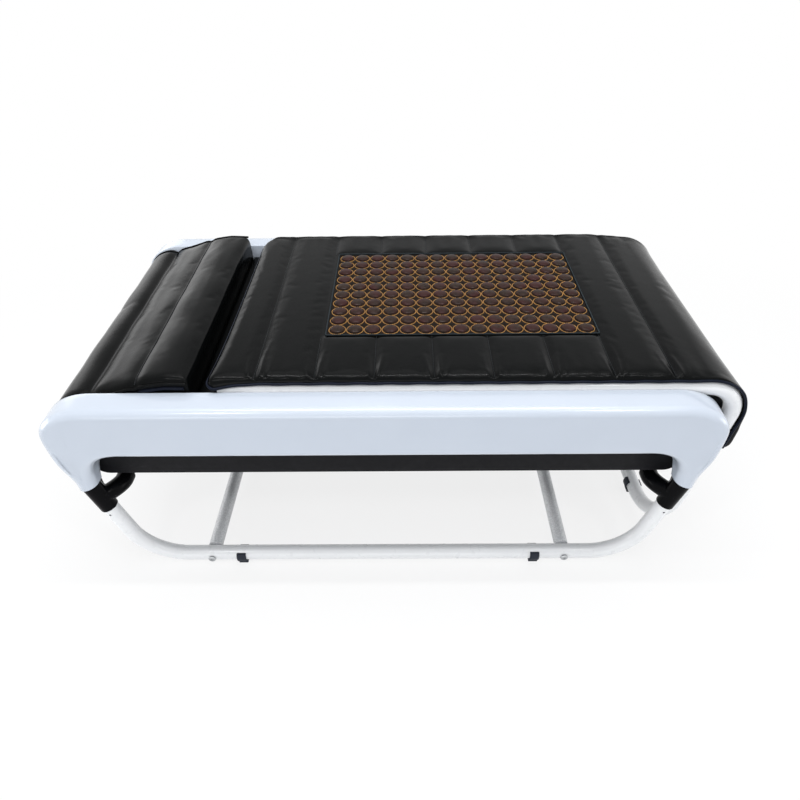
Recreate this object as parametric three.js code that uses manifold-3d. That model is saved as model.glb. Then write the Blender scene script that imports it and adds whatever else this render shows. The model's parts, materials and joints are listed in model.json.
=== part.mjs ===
// Thermal massage bed, closed: a main body between two side covers on a bent tube base, and a leg
// section with a stone mat that slides out over the foot end. Millimetres, +Z up, +X to the foot end.
// The front is at -Y. The origin is on the floor, under the middle of the whole object.

import * as THREE from 'three';
import { mergeVertices } from 'three/addons/utils/BufferGeometryUtils.js';
import Module from 'manifold-3d';

const wasm = await Module();
wasm.setup();

// Clearances and counts
const MERGE_DISTANCE = 0.0001;
const PLACES_PER_MM = 1000;
const SEAT_GAP = 0.3;
const RUN_GAP = 0.3;
const SOFT_GAP = 1;
const OVERRUN = 6;
const TUBE_SIDES = 12;
const ROUND_SIDES = 12;
const BEND_STEPS = 6;
const ARM_STEPS = 4;

// Base frame
const BODY_WIDTH = 700;
const BASE_TUBE_D = 32;
const BASE_TUBE_WALL = 1.5;
const LEG_INSET = 33;
const LEG_TILT_DEG = 15;
const LEG_BEND_R = 111;
const LEG_TIP_INSET = 31.5;
const FOOT_PAD = 7;
const FOOT_LENGTH = 20;
const FOOT_CLIP_WALL = 3.5;
const FOOT_CLIP_RISE = 12;
const FOOT_CLIP_LOW_RISE = 2;
const FOOT_PAD_HALF = 12;
const FOOT_INSET = 264.5;
const CROSS_BAR_INSET = 199.5;
const CROSS_BAR_D = 30;
const CROSS_BAR_WALL = 1.5;
const CROSS_BAR_PLUG = 20;
const BOLT_D = 8;
const BOLT_HEAD_D = 16;
const BOLT_HEAD_HEIGHT = 4.5;
const BOLT_RECESS_LENGTH = 8;
const BOLT_RECESS_WIDTH = 1.6;
const BOLT_RECESS_DEPTH = 2;
const BOLT_REACH = 16;
const LEG_TOP_RISE = 3;

// Leg joints and stretcher tubes
const SLEEVE_D = 36.6;
const SLEEVE_LENGTH = 69;
const ARM_D = 36;
const ARM_STRAIGHT = 16;
const STRETCHER_D = 28;
const STRETCHER_WALL = 1.5;
const STRETCHER_INSET = 40.5;
const STRETCHER_DROP = 38;
const ARM_REACH = 64;
const TONGUE_LENGTH = 24;
const TONGUE_THICK = 6;
const TONGUE_FOOT_RISE = 3;
const SCREW_D = 5;
const SCREW_DROP = 12;

// Deck levels
const DECK_TOP_Z = 425;
const DECK_THICK = 10;
const DECK_END_SPACE = 70;
const MAIN_MAT_THICK = 8.7;
const SLIDE_LIFT = 5;

// Side covers
const COVER_HALF_LENGTH = 618;
const COVER_DEPTH = 57;
const COVER_RISE = 37;
const COVER_HEIGHT = 112;
const COVER_WALL = 3;
const COVER_ROUND = 16;
const COVER_CORNER_LENGTH = 95;
const COVER_CORNER_DROP = 67;
const COVER_TIP_SPACE = 4.7;
const COVER_TIP_HALF = 20;
const COVER_TIP_ROUND = 19.4;
const COVER_TIP_FRONT = 13;
const COVER_TIP_BACK = 46;
const COVER_TIP_BLEND = 95;
const COVER_TIP_EXTRA = 40;
const COVER_LIP = 47;
const COVER_INNER_CORNER = 26.5;
const COVER_INNER_CORNER_RISE = 38;
const COVER_INNER_BEND = 36.5;
const COVER_INNER_BEND_RISE = 88;
const COVER_INNER_END = 98.5;
const COVER_CURVE_STEPS = 6;
const COVER_ROUND_STEPS = 3;

// Side beams and lower housing
const BEAM_HEIGHT = 38;
const BEAM_DEPTH = 38;
const BEAM_WALL = 2;
const BEAM_END_SPACE = 24;
const BEAM_FLOOR_SPACE = 6;
const HOUSING_DEPTH = 160;
const HOUSING_WALL = 2.5;
const HOUSING_CORNER_R = 30;
const HOUSING_SHOULDER_R = 34;

// End panels under the rounded mat ends
const PANEL_R = 45;
const PANEL_THICK = 3;
const PANEL_DROP = 38;

// Leg section
const SLIDE_TUBE_D = 32;
const SLIDE_TUBE_WALL = 1.5;
const SLIDE_RAIL_INSET = 18;
const SLIDE_HEAD_SPACE = 49;
const SLIDE_BEND_SPACE = 40;
const SLIDE_BEND_R = 60;
const SLIDE_LEG_TILT_DEG = 7.5;
const SLIDE_CORNER_R = 140;
const SLIDE_FOOT_SPACE = 17;
const LEG_DECK_HEAD_SPACE = 6;
const GLIDE_PLUG_LENGTH = 20;
const GLIDE_CAP = 5;

// Guide wheels under the leg section
const GUIDE_WHEEL_R = 12;
const GUIDE_WHEEL_WIDTH = 12;
const GUIDE_AXLE_R = 3;
const GUIDE_AXLE_LENGTH = 27;
const GUIDE_PITCH = 130;
const GUIDE_BLOCK_END = 26;
const GUIDE_DECK_SPACE = 20;
const GUIDE_BLOCK_SIDE = 16;
const GUIDE_POCKET_SPACE = 2;
const GUIDE_BLOCK_COVER = 2;

// Leg mat and stone panel
const LEG_MAT_HEAD_SPACE = 40;
const LEG_MAT_SIDE_SPACE = 8;
const LEG_MAT_THICK = 17;
const LEG_MAT_EDGE_THICK = 8;
const LEG_MAT_FOOT_THICK = 6;
const LEG_MAT_END_THICK = 18;
const LEG_MAT_END_BLEND = 40;
const LEG_MAT_DROP = 78;
const LEG_MAT_CHANNEL = 3;
const LEG_MAT_CHANNEL_HALF = 7;
const LEG_MAT_CHANNEL_PITCH = 107;
const LEG_MAT_FIRST_CHANNEL = 77;
const LEG_MAT_EDGE_ROLL = 16;
const PANEL_RECESS = 4;
const PANEL_RECESS_SLOPE = 5;
const STONE_PITCH_X = 34.8;
const STONE_PITCH_Y = 33.4;
const STONE_COLUMNS = 15;
const STONE_ROWS = 10;
const STONE_D = 27;
const STONE_TOP_D = 17;
const STONE_RISE = 4;
const STONE_SIDES = 6;
const STONE_PANEL_SHIFT = 10.5;
const STONE_PANEL_Y = 20;
const STONE_PANEL_THICK = 3.5;
const STONE_PANEL_BORDER = 2;

// Head mat
const HEAD_MAT_REACH = 203;
const HEAD_MAT_SIDE_SPACE = 4;
const HEAD_MAT_THICK = 65;
const HEAD_MAT_SHOULDER_THICK = 31;
const HEAD_MAT_END_THICK = 21;
const HEAD_MAT_FLAT = 97;
const HEAD_MAT_SLOPE = 92;
const HEAD_MAT_FALL_POWER = 1.3;
const HEAD_MAT_CHANNEL = 5;
const HEAD_MAT_CHANNEL_HALF = 9;
const HEAD_MAT_EDGE_ROLL = 20;
const HEAD_MAT_EDGE_DROP = 12;

// Main mat and roller slot
const SLOT_HEAD_SPACE = 53;
const SLOT_FOOT_SPACE = 78;
const SLOT_HALF_WIDTH = 112;
const SLOT_COVER_MARGIN = 6;
const SLOT_COVER_THICK = 2.5;
const SLOT_COVER_SINK = 0.5;

// Roller carriage
const RAIL_Y = 150;
const RAIL_WIDTH = 20;
const RAIL_HEIGHT = 20;
const RAIL_HEAD_REACH = 38;
const RAIL_FOOT_SPACE = 48;
const CARRIAGE_WHEEL_R = 15;
const CARRIAGE_WHEEL_WIDTH = 12;
const CARRIAGE_AXLE_R = 5;
const CARRIAGE_AXLE_END = 6;
const WHEELBASE = 130;
const CARRIAGE_HALF_LENGTH = 85;
const CARRIAGE_HALF_WIDTH = 128;
const CARRIAGE_PLATE = 4;
const CARRIAGE_AXLE_COVER = 7;
const EAR_THICK = 6;
const EAR_WIDTH = 22;
const POST_R = 5;
const POST_Y = 84;
const CARRIAGE_END_SPACE = 10;
const LIFT_TRAVEL = 34;
const JADE_R = 25;
const JADE_SPACING = 90;
const JADE_BULGE_HALF = 34;
const JADE_BULGE_Y = 46;
const JADE_AXLE_R = 4;
const CRADLE_HALF_LENGTH = 74;
const CRADLE_HALF_WIDTH = 104;
const CRADLE_PLATE = 4;
const CRADLE_EAR_COVER = 8;
const ROLLER_TOP_SPACE = 2;
const LIFT_MOTOR_R = 9;
const LIFT_MOTOR_LENGTH = 60;
const LIFT_BOX_HALF = 16;

// Belt drive
const BELT_RAIL_SPACE = 55;
const BELT_WIDTH = 10;
const BELT_THICK = 2;
const PULLEY_R = 14;
const PULLEY_WIDTH = 12;
const PULLEY_END_SPACE = 68;
const PULLEY_SHAFT_R = 4;
const MOTOR_R = 22;
const MOTOR_LENGTH = 62;
const MOTOR_BASE_HALF = 18;
const CLAMP_LENGTH = 30;
const CLAMP_SPACE = 2;
const IDLER_ARM_THICK = 6;
const IDLER_BASE_HALF = 16;

// Control box, power inlet and switch
const BOX_LENGTH = 150;
const BOX_WIDTH = 210;
const BOX_HEIGHT = 48;
const BOX_LID = 3;
const BOX_HEAD_SPACE = 50;
const INLET_WIDTH = 62;
const INLET_HEIGHT = 30;
const INLET_DEPTH = 26;
const INLET_FLANGE = 5;
const INLET_FLANGE_THICK = 2.5;
const INLET_Y = 150;
const INLET_RISE = 63.3;
const SOCKET_WIDTH = 25;
const SOCKET_HEIGHT = 18;
const SOCKET_DEPTH = 18;
const SOCKET_Y_OFFSET = 14;
const PIN_WIDTH = 2;
const PIN_HEIGHT = 4;
const PIN_LENGTH = 14;
const PIN_SPACING = 7;
const SWITCH_WIDTH = 14;
const SWITCH_HEIGHT = 20;
const SWITCH_POCKET_DEPTH = 14;
const SWITCH_R = 9;
const SWITCH_Y_OFFSET = 17;
const SWITCH_PROUD = 2.4;
const SWITCH_SPACE = 0.8;
const SWITCH_SWING_SPACE = 1.2;
const SWITCH_TILT_DEG = 7;

// Worked out levels
const baseTubeR = BASE_TUBE_D / 2;
const slideTubeR = SLIDE_TUBE_D / 2;
const baseTubeZ = FOOT_PAD + baseTubeR;
const baseRailY = BODY_WIDTH / 2 - LEG_INSET;
const innerHalfWidth = BODY_WIDTH / 2 - COVER_DEPTH;
const deckHalfWidth = innerHalfWidth - SEAT_GAP;
const slideRailY = innerHalfWidth - SLIDE_RAIL_INSET;
const slideFootY = slideRailY - SLIDE_CORNER_R - SLIDE_FOOT_SPACE;
const legMatHalfWidth = innerHalfWidth - LEG_MAT_SIDE_SPACE;
const headMatHalfWidth = innerHalfWidth - HEAD_MAT_SIDE_SPACE;
const beltY = RAIL_Y + BELT_RAIL_SPACE;
const deckBottomZ = DECK_TOP_Z - DECK_THICK;
const mainMatTopZ = DECK_TOP_Z + SEAT_GAP + MAIN_MAT_THICK;
const slideRailZ = mainMatTopZ + SLIDE_LIFT + slideTubeR;
const coverTopZ = DECK_TOP_Z + COVER_RISE;
const coverBottomZ = coverTopZ - COVER_HEIGHT;
const housingTopZ = deckBottomZ - SEAT_GAP;
const housingBottomZ = housingTopZ - HOUSING_DEPTH;
const housingFloorZ = housingBottomZ + HOUSING_WALL + SEAT_GAP;
const inletZ = housingBottomZ + INLET_RISE;
const coverTipZ = housingBottomZ - COVER_TIP_SPACE;
const coverTipBlendZ = coverTipZ + COVER_TIP_BLEND;
const coverInnerCornerZ = coverTipZ + COVER_INNER_CORNER_RISE;
const coverInnerBendZ = coverTipZ + COVER_INNER_BEND_RISE;
const stretcherZ = coverTipZ - STRETCHER_DROP;
const tongueFootZ = stretcherZ + TONGUE_FOOT_RISE;
const legTilt = THREE.MathUtils.degToRad(LEG_TILT_DEG);
const slideTilt = THREE.MathUtils.degToRad(SLIDE_LEG_TILT_DEG);
const beamBottomZ = coverBottomZ + BEAM_FLOOR_SPACE;

// Worked out places along the bed
const legTipX = COVER_HALF_LENGTH - LEG_TIP_INSET;
const footX = legTipX - FOOT_INSET;
const crossBarX = legTipX - CROSS_BAR_INSET;
const stretcherX = legTipX - STRETCHER_INSET;
const deckHalfLength = COVER_HALF_LENGTH - DECK_END_SPACE;
const housingHalfLength = deckHalfLength + HOUSING_SHOULDER_R;
const headMatFootX = HEAD_MAT_REACH - deckHalfLength;
const slideHeadX = headMatFootX + SLIDE_HEAD_SPACE;
const slideBendX = deckHalfLength + SLIDE_BEND_SPACE;
const legMatHeadX = headMatFootX + LEG_MAT_HEAD_SPACE;
const stonePanelX = (legMatHeadX + slideBendX) / 2 + STONE_PANEL_SHIFT;
const guideFirstX = deckHalfLength - GUIDE_DECK_SPACE - GUIDE_BLOCK_END - GUIDE_PITCH;
const slotHeadX = headMatFootX + SLOT_HEAD_SPACE;
const slotFootX = deckHalfLength - SLOT_FOOT_SPACE;
const pulleyX = deckHalfLength - PULLEY_END_SPACE;

// Materials
function finish(color, roughness, metalness) {
  return new THREE.MeshStandardMaterial({ color, roughness, metalness });
}
const glossWhite = finish(0xe4e8ee, 0.22, 0);
const tubeWhite = finish(0xdfe2e6, 0.3, 0.1);
const hammeredGrey = finish(0x7d8186, 0.45, 0.5);
const glossBlack = finish(0x141518, 0.2, 0);
const satinBlack = finish(0x1b1c1f, 0.5, 0);
const leatherBlack = finish(0x232427, 0.42, 0);
const fabricBlack = finish(0x1a1a1c, 0.85, 0);
const rubberDark = finish(0x24262b, 0.8, 0);
const steel = finish(0x9da1a5, 0.35, 0.9);
const board = finish(0xb08d62, 0.8, 0);
const jade = finish(0x4d7a5c, 0.25, 0);
const stoneBrown = finish(0x5a2a2a, 0.3, 0);
const greyPlastic = finish(0x6b6f75, 0.5, 0);

// Shared geometry helpers

// Merges shared corners, drops triangles with no area and turns the faces out.
function closed(source) {
  const bare = new THREE.BufferGeometry();
  bare.setAttribute('position', source.getAttribute('position').clone());
  bare.setIndex(source.index ? source.index.clone() : null);
  const merged = mergeVertices(bare, MERGE_DISTANCE);
  const position = merged.getAttribute('position');
  const kept = [];
  let volume = 0;
  const a = new THREE.Vector3();
  const b = new THREE.Vector3();
  const c = new THREE.Vector3();
  for (let i = 0; i < merged.index.count; i += 3) {
    const [i0, i1, i2] = [0, 1, 2].map((step) => merged.index.getX(i + step));
    if (i0 === i1 || i1 === i2 || i0 === i2) continue;
    kept.push(i0, i1, i2);
    a.fromBufferAttribute(position, i0);
    b.fromBufferAttribute(position, i1);
    c.fromBufferAttribute(position, i2);
    volume += a.dot(b.cross(c));
  }
  if (volume < 0) {
    for (let i = 0; i < kept.length; i += 3) {
      [kept[i], kept[i + 1]] = [kept[i + 1], kept[i]];
    }
  }
  merged.setIndex(kept);
  return merged;
}

function toSolid(geometry) {
  const clean = closed(geometry);
  const vertProperties = new Float32Array(clean.getAttribute('position').array);
  const triVerts = new Uint32Array(clean.index.array);
  return new wasm.Manifold(new wasm.Mesh({ numProp: 3, vertProperties, triVerts }));
}

function fromSolid(solid) {
  const mesh = solid.getMesh();
  const geometry = new THREE.BufferGeometry();
  const corners = new Float32Array(mesh.vertProperties);
  geometry.setAttribute('position', new THREE.BufferAttribute(corners, 3));
  geometry.setIndex(Array.from(mesh.triVerts));
  return geometry;
}

function cut(geometry, cutters) {
  return fromSolid(cutters.reduce((solid, cutter) => solid.subtract(toSolid(cutter)), toSolid(geometry)));
}

function join(geometries) {
  const [first, ...others] = geometries.map(toSolid);
  return fromSolid(others.reduce((solid, other) => solid.add(other), first));
}

function around(middle, half) {
  return [middle - half, middle + half];
}

// A box from its low and high places along each axis.
function boxAt(xs, ys, zs) {
  const [width, depth, height] = [xs, ys, zs].map(([low, high]) => high - low);
  const [x, y, z] = [xs, ys, zs].map(([low, high]) => (low + high) / 2);
  return new THREE.BoxGeometry(width, depth, height).translate(x, y, z);
}

// Places along Y given as distances from the middle plane on one side, so front and rear match.
function onSide(side, distances) {
  return distances.map((distance) => side * distance).sort((a, b) => a - b);
}

function ringPoints(radius, sides) {
  return Array.from({ length: sides }, (_, i) => {
    const angle = (i / sides) * 2 * Math.PI;
    return new THREE.Vector2(radius * Math.cos(angle), radius * Math.sin(angle));
  });
}

// The corner radius of a polygon whose flats clear a round piece of the given radius.
function boreRadius(radius, sides) {
  return radius / Math.cos(Math.PI / sides);
}

function rod(from, to, radius, sides) {
  const along = new THREE.Vector3().subVectors(to, from);
  const geometry = new THREE.CylinderGeometry(radius, radius, along.length(), sides);
  const turn = new THREE.Quaternion();
  turn.setFromUnitVectors(new THREE.Vector3(0, 1, 0), along.clone().normalize());
  const middle = new THREE.Vector3().addVectors(from, to).multiplyScalar(0.5);
  return geometry.applyQuaternion(turn).translate(middle.x, middle.y, middle.z);
}

function rodAlongY(x, z, ys, radius, sides) {
  return rod(new THREE.Vector3(x, ys[0], z), new THREE.Vector3(x, ys[1], z), radius, sides);
}

// A bored hole along Y, a little wider than what turns or sits in it.
function boreAlongY(x, z, ys, radius) {
  return rodAlongY(x, z, ys, boreRadius(radius, ROUND_SIDES), ROUND_SIDES);
}

function outlineShape(points, holes = []) {
  const shape = new THREE.Shape(points);
  holes.forEach((hole) => shape.holes.push(new THREE.Path(hole)));
  return shape;
}

// Outline in X and Z, run along Y.
function extrudeY(shape, yLow, yHigh) {
  const geometry = new THREE.ExtrudeGeometry(shape, { depth: yHigh - yLow, bevelEnabled: false });
  return geometry.rotateX(Math.PI / 2).translate(0, yHigh, 0);
}

// Outline in Y and Z, run along X.
function extrudeX(shape, xLow, xHigh) {
  const geometry = new THREE.ExtrudeGeometry(shape, { depth: xHigh - xLow, bevelEnabled: false });
  const turn = new THREE.Matrix4().makeBasis(
    new THREE.Vector3(0, 1, 0),
    new THREE.Vector3(0, 0, 1),
    new THREE.Vector3(1, 0, 0),
  );
  return geometry.applyMatrix4(turn).translate(xLow, 0, 0);
}

// Outline in X and Y, run along Z.
function extrudeZ(shape, zLow, zHigh) {
  const geometry = new THREE.ExtrudeGeometry(shape, { depth: zHigh - zLow, bevelEnabled: false });
  return geometry.translate(0, 0, zLow);
}

function rectangle(xs, ys) {
  return [
    new THREE.Vector2(xs[0], ys[0]),
    new THREE.Vector2(xs[1], ys[0]),
    new THREE.Vector2(xs[1], ys[1]),
    new THREE.Vector2(xs[0], ys[1]),
  ];
}

// A profile of [radius, place along Y] pairs turned about a Y axis at x and z.
function turnedY(profile, x, z, sides) {
  const points = profile.map(([radius, along]) => new THREE.Vector2(radius, along));
  return new THREE.LatheGeometry(points, sides).translate(x, 0, z);
}

// A path that steps from one station to the next, each with its own direction.
class StationPath extends THREE.Curve {
  constructor(stations) {
    super();
    this.stations = stations;
  }

  mix(t, key, target) {
    const place = Math.min(Math.max(t, 0), 1) * (this.stations.length - 1);
    const first = Math.min(Math.floor(place), this.stations.length - 2);
    return target.lerpVectors(this.stations[first][key], this.stations[first + 1][key], place - first);
  }

  getPoint(t, target = new THREE.Vector3()) {
    return this.mix(t, 'point', target);
  }

  getTangent(t, target = new THREE.Vector3()) {
    return this.mix(t, 'direction', target).normalize();
  }

  getUtoTmapping(u) {
    return u;
  }
}

function station(point, direction) {
  return { point, direction };
}

// Stations round an arc that starts at a point, runs along start and turns towards side.
function arcStations(point, start, side, radius, angle, steps) {
  const centre = point.clone().addScaledVector(side, radius);
  return Array.from({ length: steps + 1 }, (_, i) => {
    const turn = (angle * i) / steps;
    const place = centre.clone()
      .addScaledVector(side, -radius * Math.cos(turn))
      .addScaledVector(start, radius * Math.sin(turn));
    const direction = start.clone().multiplyScalar(Math.cos(turn)).addScaledVector(side, Math.sin(turn));
    return station(place, direction);
  });
}

function pipe(stations, outerRadius, innerRadius, sides) {
  const holes = innerRadius > 0 ? [ringPoints(innerRadius, sides)] : [];
  const path = new StationPath(stations);
  const options = { steps: stations.length - 1, bevelEnabled: false, extrudePath: path };
  return new THREE.ExtrudeGeometry(outlineShape(ringPoints(outerRadius, sides), holes), options);
}

function mirroredStations(half, axis) {
  const flip = (vector) => vector.clone().setComponent(axis, -vector.getComponent(axis));
  const other = half.map(({ point, direction }) => station(flip(point), flip(direction).negate()));
  return [...half, ...other.reverse()];
}

// A closed sheet between an upper and a lower grid of points over the same rows and columns.
function gridSolid(us, vs, upper, lower) {
  const places = [];
  [upper, lower].forEach((surface) => us.forEach((u) => vs.forEach((v) => places.push(...surface(u, v)))));
  const at = (layer, i, j) => layer * us.length * vs.length + i * vs.length + j;
  const faces = [];
  const quad = (a, b, c, d) => faces.push(a, b, c, a, c, d);
  for (let i = 0; i + 1 < us.length; i += 1) {
    for (let j = 0; j + 1 < vs.length; j += 1) {
      quad(at(0, i, j), at(0, i + 1, j), at(0, i + 1, j + 1), at(0, i, j + 1));
      quad(at(1, i, j), at(1, i, j + 1), at(1, i + 1, j + 1), at(1, i + 1, j));
    }
  }
  const lastU = us.length - 1;
  const lastV = vs.length - 1;
  for (let i = 0; i < lastU; i += 1) {
    quad(at(0, i, 0), at(1, i, 0), at(1, i + 1, 0), at(0, i + 1, 0));
    quad(at(0, i + 1, lastV), at(1, i + 1, lastV), at(1, i, lastV), at(0, i, lastV));
  }
  for (let j = 0; j < lastV; j += 1) {
    quad(at(0, 0, j + 1), at(1, 0, j + 1), at(1, 0, j), at(0, 0, j));
    quad(at(0, lastU, j), at(1, lastU, j), at(1, lastU, j + 1), at(0, lastU, j + 1));
  }
  const geometry = new THREE.BufferGeometry();
  geometry.setAttribute('position', new THREE.Float32BufferAttribute(places, 3));
  geometry.setIndex(faces);
  return geometry;
}

// A closed solid through a row of rings of points, with the first and last ring capped. A ring is
// looked at along Y when its cap is filled.
function ringSolid(rings) {
  const count = rings[0].length;
  const faces = [];
  rings.slice(1).forEach((_, row) => {
    for (let i = 0; i < count; i += 1) {
      const next = (i + 1) % count;
      const [a, b] = [row * count + i, row * count + next];
      faces.push(a, b, b + count, a, b + count, a + count);
    }
  });
  [0, rings.length - 1].forEach((row) => {
    const flat = rings[row].map(([x, , z]) => new THREE.Vector2(x, z));
    const turned = THREE.ShapeUtils.area(flat) > 0 === (row > 0);
    THREE.ShapeUtils.triangulateShape(flat, []).forEach(([a, b, c]) => {
      const corners = turned ? [a, b, c] : [a, c, b];
      faces.push(...corners.map((index) => row * count + index));
    });
  });
  const geometry = new THREE.BufferGeometry();
  geometry.setAttribute('position', new THREE.Float32BufferAttribute(rings.flat(2), 3));
  geometry.setIndex(faces);
  return geometry;
}

// Base frame

function legX(z) {
  return legTipX + (z - coverTipZ) * Math.tan(legTilt);
}

function legPoint(end, side, z) {
  return new THREE.Vector3(end * legX(z), side * baseRailY, z);
}

function legDirection(end) {
  return new THREE.Vector3(end * Math.sin(legTilt), 0, Math.cos(legTilt));
}

function baseRailStations(side) {
  const bendEndZ = baseTubeZ + LEG_BEND_R * (1 - Math.sin(legTilt));
  const bendStartX = legX(bendEndZ) - LEG_BEND_R * Math.cos(legTilt);
  const start = new THREE.Vector3(bendStartX, side * baseRailY, baseTubeZ);
  const along = new THREE.Vector3(1, 0, 0);
  const up = new THREE.Vector3(0, 0, 1);
  const bend = arcStations(start, along, up, LEG_BEND_R, Math.PI / 2 - legTilt, BEND_STEPS);
  const top = station(legPoint(1, side, coverTipZ + LEG_TOP_RISE), legDirection(1));
  return mirroredStations([...bend, top].reverse().map(({ point, direction }) => (
    station(point, direction.clone().negate())
  )), 0);
}

// The hole for a small set screw in the outer face of a leg, below its joint.
function screwHole(end, side) {
  const place = sleeveTop(end, side, SLEEVE_LENGTH + SCREW_DROP);
  const ys = onSide(side, [baseRailY, baseRailY + baseTubeR + OVERRUN]);
  return boreAlongY(place.x, place.z, ys, SCREW_D / 2);
}

function baseRail(side) {
  const tube = pipe(baseRailStations(side), baseTubeR, baseTubeR - BASE_TUBE_WALL, TUBE_SIDES);
  const ys = around(side * baseRailY, baseTubeR + OVERRUN);
  const holes = [-1, 1].flatMap((end) => [
    boreAlongY(end * crossBarX, baseTubeZ, ys, BOLT_D / 2 + RUN_GAP),
    screwHole(end, side),
  ]);
  return cut(tube, holes);
}

function crossBar(end) {
  const reach = baseRailY - baseTubeR - SEAT_GAP;
  const bore = boreRadius(BOLT_D / 2 + RUN_GAP, ROUND_SIDES);
  const outer = CROSS_BAR_D / 2;
  const inner = outer - CROSS_BAR_WALL;
  const plug = reach - CROSS_BAR_PLUG;
  const profile = [
    [bore, reach], [outer, reach], [outer, -reach], [bore, -reach],
    [bore, -plug], [inner, -plug], [inner, plug], [bore, plug], [bore, reach],
  ];
  return turnedY(profile, end * crossBarX, baseTubeZ, ROUND_SIDES);
}

function crossBarBolt(side, end) {
  const seat = baseRailY + baseTubeR + SEAT_GAP;
  const tip = baseRailY - baseTubeR - BOLT_REACH;
  const headR = BOLT_HEAD_D / 2;
  const rimShare = 0.55;
  const crownShare = 0.7;
  const top = seat + BOLT_HEAD_HEIGHT;
  const profile = [
    [0, tip], [BOLT_D / 2, tip], [BOLT_D / 2, seat], [headR, seat],
    [headR, seat + BOLT_HEAD_HEIGHT * rimShare], [headR * crownShare, top], [0, top],
  ].map(([radius, along]) => [radius, side * along]);
  const head = turnedY(profile, end * crossBarX, baseTubeZ, ROUND_SIDES);
  const x = end * crossBarX;
  const half = BOLT_RECESS_LENGTH / 2;
  const slim = BOLT_RECESS_WIDTH / 2;
  const ys = onSide(side, [top - BOLT_RECESS_DEPTH, top + OVERRUN]);
  const recess = [
    boxAt(around(x, half), ys, around(baseTubeZ, slim)),
    boxAt(around(x, slim), ys, around(baseTubeZ, half)),
  ];
  return cut(head, recess);
}

// A rubber clip round the underside of a tube whose middle is at x and y. Its wall is lower on the
// side that the direction low leads to, where the tube is pressed in.
function clipFoot(x, y, alongX, tubeR, low) {
  const middle = new THREE.Vector3(x, y, FOOT_PAD + tubeR);
  const round = (half, radius) => {
    const reach = new THREE.Vector3(alongX ? half : 0, alongX ? 0 : half, 0);
    return rod(middle.clone().sub(reach), middle.clone().add(reach), radius, TUBE_SIDES);
  };
  const half = FOOT_LENGTH / 2;
  const outer = tubeR + SEAT_GAP + FOOT_CLIP_WALL;
  const [xHalf, yHalf] = alongX ? [half, FOOT_PAD_HALF] : [FOOT_PAD_HALF, half];
  const pad = boxAt(around(x, xHalf), around(y, yHalf), [0, middle.z]);
  const bore = round(half + OVERRUN, boreRadius(tubeR + SEAT_GAP, TUBE_SIDES));
  const wide = outer + OVERRUN;
  const above = (rise) => boxAt(around(x, wide), around(y, wide), [middle.z + rise, middle.z + wide]);
  const lowSide = above(FOOT_CLIP_LOW_RISE).translate(low.x * wide, low.y * wide, 0);
  return cut(join([round(half, outer), pad]), [bore, above(FOOT_CLIP_RISE), lowSide]);
}

// Leg joints and stretchers

function armStations(end, side) {
  const mouthY = baseRailY - ARM_REACH;
  const bendY = mouthY + ARM_STRAIGHT;
  const leadShare = 0.62;
  const leadY = THREE.MathUtils.lerp(baseRailY, bendY, leadShare);
  const bend = new THREE.QuadraticBezierCurve3(
    legPoint(end, side, stretcherZ),
    new THREE.Vector3(end * stretcherX, side * leadY, stretcherZ),
    new THREE.Vector3(end * stretcherX, side * bendY, stretcherZ),
  );
  const curved = Array.from({ length: ARM_STEPS + 1 }, (_, i) => {
    const t = i / ARM_STEPS;
    return station(bend.getPoint(t), bend.getTangent(t));
  });
  const mouth = new THREE.Vector3(end * stretcherX, side * mouthY, stretcherZ);
  return [...curved, station(mouth, new THREE.Vector3(0, -side, 0))];
}

function sleeveTop(end, side, below) {
  return legPoint(end, side, coverTipZ).addScaledVector(legDirection(end), -SEAT_GAP - below);
}

// The sleeve on the leg, its arm, and a tongue that carries the side beam inside the cover.
function legJoint(end, side) {
  const top = sleeveTop(end, side, 0);
  const bottom = sleeveTop(end, side, SLEEVE_LENGTH);
  const sleeve = rod(bottom, top, SLEEVE_D / 2, ROUND_SIDES);
  const arm = pipe(armStations(end, side), ARM_D / 2, 0, TUBE_SIDES);
  const tongueNear = innerHalfWidth + SOFT_GAP;
  const tongue = boxAt(
    around(end * legTipX, TONGUE_LENGTH / 2),
    onSide(side, [tongueNear, tongueNear + TONGUE_THICK]),
    [tongueFootZ, beamBottomZ - SEAT_GAP],
  );
  const past = legDirection(end).multiplyScalar(OVERRUN);
  const bore = rod(
    bottom.clone().sub(past),
    top.clone().add(past),
    boreRadius(baseTubeR + SEAT_GAP, TUBE_SIDES),
    TUBE_SIDES,
  );
  const mouth = baseRailY - ARM_REACH;
  const socket = rodAlongY(
    end * stretcherX,
    stretcherZ,
    onSide(side, [mouth - OVERRUN, mouth + ARM_STRAIGHT]),
    boreRadius(STRETCHER_D / 2 + SEAT_GAP, TUBE_SIDES),
    TUBE_SIDES,
  );
  return cut(join([sleeve, arm, tongue]), [bore, socket]);
}

function stretcherTube(end) {
  const reach = baseRailY - ARM_REACH + ARM_STRAIGHT - SEAT_GAP;
  const outer = STRETCHER_D / 2;
  const inner = outer - STRETCHER_WALL;
  const profile = [[inner, reach], [outer, reach], [outer, -reach], [inner, -reach], [inner, reach]];
  return turnedY(profile, end * stretcherX, stretcherZ, TUBE_SIDES);
}

// Side covers

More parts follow.
